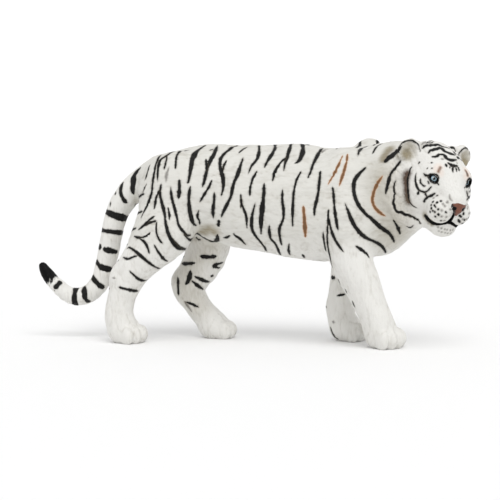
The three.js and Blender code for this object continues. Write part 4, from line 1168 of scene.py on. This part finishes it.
# ---- The coat's paint ----
class Painter:
    """Short forms for building a material out of nodes."""

    def __init__(self, material):
        self.nodes, self.links = material.node_tree.nodes, material.node_tree.links

    def node(self, kind, inputs, **settings):
        node = self.nodes.new("ShaderNode" + kind)
        for name, value in settings.items():
            setattr(node, name, value)
        for key, value in inputs.items():
            self.feed(node.inputs[key], value)
        return node

    def feed(self, socket, value):
        if isinstance(value, bpy.types.NodeSocket):
            self.links.new(value, socket)
        else:
            socket.default_value = value

    def math(self, operation, *values):
        return self.node("Math", dict(enumerate(values)), operation=operation).outputs[0]

    def plus(self, first, *others):
        for other in others:
            first = self.math("ADD", first, other)
        return first

    def minus(self, a, b):
        return self.math("SUBTRACT", a, b)

    def times(self, a, b):
        return self.math("MULTIPLY", a, b)

    def larger(self, a, b):
        return self.math("MAXIMUM", a, b)

    def size(self, a):
        return self.math("ABSOLUTE", a)

    def step(self, value, none, whole):
        """Rises smoothly from 0 at none to 1 at whole, whichever of the two is larger."""
        inputs = {"Value": value, "From Min": none, "From Max": whole}
        return self.node("MapRange", inputs, interpolation_type="SMOOTHSTEP").outputs[0]

    def mix(self, amount, a, b):
        a, b = (tint if isinstance(tint, bpy.types.NodeSocket) else (*tint, 1) for tint in (a, b))
        return self.node("Mix", {0: amount, 6: a, 7: b}, data_type="RGBA").outputs[2]

    def attribute(self, name):
        return self.node("Attribute", {}, attribute_name=name).outputs["Vector"]

    def parts(self, name):
        return self.node("SeparateXYZ", {0: self.attribute(name)}).outputs[:3]

    def joined(self, x, y, z):
        return self.node("CombineXYZ", {0: x, 1: y, 2: z}).outputs[0]

    def distance(self, place, point):
        return self.node("VectorMath", {0: place, 1: point}, operation="DISTANCE").outputs["Value"]

    def millimetres(self):
        place = self.node("TexCoord", {}).outputs["Object"]
        return self.node("VectorMath", {0: place, "Scale": 1 / MM}, operation="SCALE").outputs[0]

    def noise(self, place, scale, stretch=(1, 1, 1), detail=2.0):
        """Noise about zero, in waves of one over scale; a stretch under one draws it out."""
        place = self.node("VectorMath", {0: place, 1: stretch}, operation="MULTIPLY").outputs[0]
        inputs = {"Vector": place, "Scale": scale, "Detail": detail}
        return self.minus(self.node("TexNoise", inputs).outputs[0], 0.5)


WHITE, PALE, SHADE = (0.7, 0.69, 0.65), (0.785, 0.775, 0.742), (0.33, 0.3, 0.235)
UMBER, ORANGE, STONE = (0.08, 0.05, 0.04), (0.82, 0.5, 0.34), (0.31, 0.27, 0.185)
INK, SOOT, RUST = (0.004, 0.004, 0.004), (0.05, 0.045, 0.045), (0.33, 0.145, 0.05)
SEPIA, PEACH, BARK = (0.12, 0.095, 0.06), (0.66, 0.42, 0.25), (0.17, 0.088, 0.042)


def paint_coat(material, shader):
    p = Painter(material)
    place = p.millimetres()
    head, legs, trunk = p.parts("lie")
    fur = p.plus(p.times(p.noise(p.attribute("in_head"), 2.2, (0.4, 1, 0.7)), head),
                 p.times(p.noise(place, 1.6, (1, 1, 0.25)), legs),
                 p.times(p.noise(place, 1.6, (0.25, 1, 0.7)), trunk))
    speckle = p.noise(place, 3.5)

    # bare plastic, darker in its creases and mottled at random, with painted shade in its hollows
    hollow, crease, tail_gap = p.parts("form")
    painted_shade_and_mottle = p.plus(p.times(p.step(hollow, 0.35, 1.1), 0.75), p.times(crease, 0.2), 0.07, p.times(fur, 0.6),
                  p.times(p.noise(place, 0.17, detail=4.0), 0.7))
    colour = p.mix(p.step(painted_shade_and_mottle, 0.0, 1.0), p.mix(trunk, PALE, WHITE), SHADE)
    for amount, tint in zip(p.parts("stain_and_shade"), (UMBER, ORANGE, STONE)):
        rough_edge = p.times(amount, p.plus(1.0, p.times(fur, 0.8)))
        colour = p.mix(rough_edge, colour, tint)

    # the strokes, with edges that wander along the fur and a thin brown halo
    wander = p.plus(p.times(fur, 0.5), p.times(speckle, 0.2))
    wander = p.times(wander, p.minus(1.0, p.times(head, 0.4)))
    inked = 0.0
    for number in range(LAYERS):
        offset, width, tone = p.parts(f"ink_{number}")
        inside = p.minus(p.plus(width, wander), p.size(offset))
        brown = p.step(tone, 0.6, 0.9)
        faint = p.minus(p.step(tone, 0.1, 0.4), brown)
        colour = p.mix(p.times(p.step(inside, -0.7, 0.1), 0.3), colour, p.mix(brown, SEPIA, PEACH))
        mask = p.times(p.step(inside, -0.14, 0.18), p.minus(0.985, p.times(faint, 0.5)))
        rust = p.mix(p.step(inside, 0.02, 0.42), RUST, BARK)
        colour = p.mix(mask, colour, p.mix(brown, p.mix(faint, INK, SOOT), rust))
        inked = p.larger(inked, mask)

    # the black round the eyes, along the lips, beside the nose and on the tail's tip
    tip = p.step(p.plus(tail_gap, p.times(fur, 3.0)), 6.6, 5.6)
    blacks = [p.step(p.minus(gap, p.times(wander, 0.6)), reach + 0.1, reach - 0.1)
              for gap, reach in zip(p.parts("gap"), (0.34, 0.28, 0.1))]
    for mask in [*blacks, tip]:
        colour = p.mix(mask, colour, INK)
        inked = p.larger(inked, mask)

    height = p.plus(fur, p.times(speckle, 0.3))
    bump = p.node("Bump", {"Strength": 0.75, "Distance": 0.35 * MM, "Height": height})
    shader.inputs["Specular IOR Level"].default_value = 0.1
    p.feed(shader.inputs["Base Color"], colour)
    p.feed(shader.inputs["Roughness"], p.minus(p.plus(0.6, p.times(fur, 0.25)), p.times(inked, 0.12)))
    p.feed(shader.inputs["Normal"], bump.outputs[0])


paint_coat(coat_material, coat_shader)


# ---- Nose leather and eyes ----
NOSE_MIDDLE, NOSTRIL = (17, 0, -5.5), (17.6, 1.8, -5.7)  # in the head's own frame
NOSE_ROOM, NOSE_STEP = 5, 0.16  # how far its mesh may reach each way, and its points' spacing


def nose_field(samples):
    leather = [
        head_ball((16.6, 0, -4.6), (1.9, 2.7, 1.5), 0.6),
        head_ball((17, 0, -6), (1.6, 1.7, 1.5), 0.8),
        head_cone((17.2, 0, -6.2), (17, 0, -7.6), 0.8, 0.5, 0.6),
    ]
    for side in (-1, 1):
        leather.append(head_ball((16.9, side * 1.9, -5.2), (1.2, 0.9, 1.1), 0.5))
    field = union(samples, leather)
    for side in (-1, 1):
        field = carved(samples, field, head_ball((17.9, side * 1.75, -5.7), (1.1, 0.75, 0.55), 0.3))
    return field


def nose_mesh():
    middle = from_head(NOSE_MIDDLE)
    grid = Grid(middle - NOSE_ROOM, middle + NOSE_ROOM, NOSE_STEP)
    points, triangles = surface_nets(nose_field(grid), grid)
    return settled(points, nose_field)[0], triangles


nose_points, nose_triangles = nose_mesh()
nose_material, nose_shader = new_material("nose_paint", (0.3, 0.1, 0.06), 0.4)
nose = mesh_object("nose_leather", nose_points, nose_triangles, nose_material)
add_attribute(nose.data, "in_head", to_head(nose_points))
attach(nose, "root")
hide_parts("nose")


def paint_nose(material, shader):
    """Brick brown, with black round its edge and in the nostrils."""
    p = Painter(material)
    forward, across, up = p.parts("in_head")
    aside = p.size(across)
    grain = p.noise(p.attribute("in_head"), 3.0)
    rim = p.plus(aside, p.times(p.minus(-3.6, up), 0.58), p.times(grain, 0.8))
    nostril = p.distance(p.joined(forward, aside, up), NOSTRIL)
    dark = p.larger(p.step(rim, 2.5, 3.1), p.step(p.plus(nostril, grain), 1.15, 0.8))
    colour = p.mix(p.plus(0.5, grain), (0.11, 0.03, 0.014), (0.21, 0.07, 0.036))
    bump = p.node("Bump", {"Strength": 0.3, "Distance": 0.15 * MM, "Height": grain})
    p.feed(shader.inputs["Base Color"], p.mix(dark, colour, (0.012, 0.008, 0.007)))
    p.feed(shader.inputs["Normal"], bump.outputs[0])


paint_nose(nose_material, nose_shader)

EYE_RINGS, EYE_SPOKES = 28, 40
CORNEA_RISE, CORNEA_EDGE = 0.04, 0.75  # in eye radii, and in radians from the gaze
GLINT = (-0.2, 0.17, 0)  # a painted highlight, a white dot: radians across and up from the gaze


def eye_piece(side):
    """A ball with a raised cornea; rings count outward from the gaze."""
    name = "eye_right" if side < 0 else "eye_left"
    outward, up = EYE_GAZE
    turn = HEAD @ turn_z(side * outward) @ turn_y(-up)
    centre = eye_centre(side)
    points, from_gaze = [], []
    for ring in range(1, EYE_RINGS):
        angle = math.pi * ring / EYE_RINGS
        radius = EYE_RADIUS * (1 + CORNEA_RISE * max(0.0, 1 - (angle / CORNEA_EDGE) ** 2))
        for round_by in np.arange(EYE_SPOKES) * 2 * math.pi / EYE_SPOKES:
            across, rise = math.cos(round_by), math.sin(round_by)
            spot = np.array([math.cos(angle), math.sin(angle) * across, math.sin(angle) * rise])
            points.append(turn @ (radius * spot))
            from_gaze.append((angle, across, rise))
    front, back = len(points), len(points) + 1
    points += [turn @ (EYE_RADIUS * (1 + CORNEA_RISE), 0, 0), turn @ (-EYE_RADIUS, 0, 0)]
    from_gaze += [(0.0, 0.0, 0.0), (math.pi, 0.0, 0.0)]
    triangles = []
    for a, b, c, d in ring_quads(EYE_RINGS - 1, EYE_SPOKES):
        triangles += [(a, b, c), (a, c, d)]
    last_ring = front - EYE_SPOKES
    for spoke in range(EYE_SPOKES):
        after = (spoke + 1) % EYE_SPOKES
        triangles += [(front, spoke, after), (last_ring + spoke, back, last_ring + after)]
    eye = mesh_object(name + "_ball", np.array(points) + centre, np.array(triangles), eye_material)
    add_attribute(eye.data, "from_gaze", np.array(from_gaze))
    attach(eye, "root")
    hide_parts(name)


def paint_eye(material, shader):
    """A pale blue iris with streaks, a black pupil and rim, and the painted glint."""
    p = Painter(material)
    angle, across, up = p.parts("from_gaze")
    streaks = p.noise(p.joined(across, up, p.times(angle, 0.5)), 5.0)
    edge = p.plus(angle, p.times(streaks, 0.06))
    iris = p.mix(p.step(edge, 0.15, 0.5), (0.6, 0.74, 0.8), (0.25, 0.42, 0.55))
    iris = p.mix(p.plus(0.3, streaks), iris, (0.6, 0.75, 0.82))
    colour = p.mix(p.step(edge, 0.25, 0.2), iris, (0.004, 0.004, 0.006))
    colour = p.mix(p.step(edge, 0.47, 0.55), colour, (0.006, 0.006, 0.008))
    glint = p.distance(p.joined(p.times(across, angle), p.times(up, angle), 0.0), GLINT)
    p.feed(shader.inputs["Base Color"], p.mix(p.step(glint, 0.14, 0.08), colour, (0.9, 0.92, 0.93)))
    shader.inputs["Specular IOR Level"].default_value = 0.1
    shader.inputs["Coat Weight"].default_value = 0.5
    shader.inputs["Coat Roughness"].default_value = 0.04


eye_material, eye_shader = new_material("eye_paint", (0.3, 0.5, 0.6), 0.25)
paint_eye(eye_material, eye_shader)
for side in (-1, 1):
    eye_piece(side)


# ---- Stage ----
CAMERA_TURN, CAMERA_RISE = 9, 4  # degrees towards the head, and above the horizon
CAMERA_DISTANCE = 500.0
CAMERA_AIM = (0, 0, 31.2)
LENS = 106.2
SUN_TOWARDS, SUN_WIDTH = (0.3, -0.7, 1.2), 40  # where it stands, and degrees across
SUN_STRENGTH, SKY_STRENGTH = 1.3, 0.72
FLOOR_RADIUS, FLOOR_RIM = 3.0, 2.0  # in metres: the flat part, and the sweep that rises round it
FLOOR_SPOKES, FLOOR_STEP = 96, 6  # pieces round, and degrees of each ring of the sweep


def add_floor():
    """A pale studio floor that curves up all round, so that no horizon shows."""
    material, _ = new_material("studio_floor", (0.93, 0.93, 0.93), 0.9)
    profile = [(0.001, 0), (FLOOR_RADIUS, 0)]
    for angle in np.radians(np.arange(FLOOR_STEP, 91, FLOOR_STEP)):
        profile.append((FLOOR_RADIUS + FLOOR_RIM * math.sin(angle), FLOOR_RIM * (1 - math.cos(angle))))
    places = []
    for radius, height in profile:
        for angle in np.arange(FLOOR_SPOKES) * 2 * math.pi / FLOOR_SPOKES:
            places.append((radius * math.cos(angle), radius * math.sin(angle), height))
    faces = [*ring_quads(len(profile), FLOOR_SPOKES), tuple(range(FLOOR_SPOKES))]
    floor = new_piece("floor", places, faces, material)


def add_sun():
    """A wide, far lamp; the shadows it casts are soft."""
    lamp = bpy.data.lights.new("key", "SUN")
    lamp.angle = math.radians(SUN_WIDTH)
    lamp.energy = SUN_STRENGTH
    new_object("key", lamp).rotation_euler = Vector(SUN_TOWARDS).to_track_quat("Z", "Y").to_euler()


def add_camera():
    turn, rise = math.radians(CAMERA_TURN), math.radians(CAMERA_RISE)
    back = Vector((math.sin(turn) * math.cos(rise), -math.cos(turn) * math.cos(rise), math.sin(rise)))
    camera = new_object("camera", bpy.data.cameras.new("camera"))
    camera.data.lens = LENS
    camera.data.clip_start = 0.01
    camera.location = Vector(placed(CAMERA_AIM)) + back * CAMERA_DISTANCE * MM
    camera.rotation_euler = back.to_track_quat("Z", "Y").to_euler()
    bpy.context.scene.camera = camera


def add_world():
    world = bpy.data.worlds.new("studio")
    world.use_nodes = True
    background = world.node_tree.nodes["Background"]
    background.inputs["Color"].default_value = (1, 1, 1, 1)
    background.inputs["Strength"].default_value = SKY_STRENGTH
    bpy.context.scene.world = world


add_floor()
add_world()
add_sun()
add_camera()
bpy.context.scene.view_settings.view_transform = "Standard"
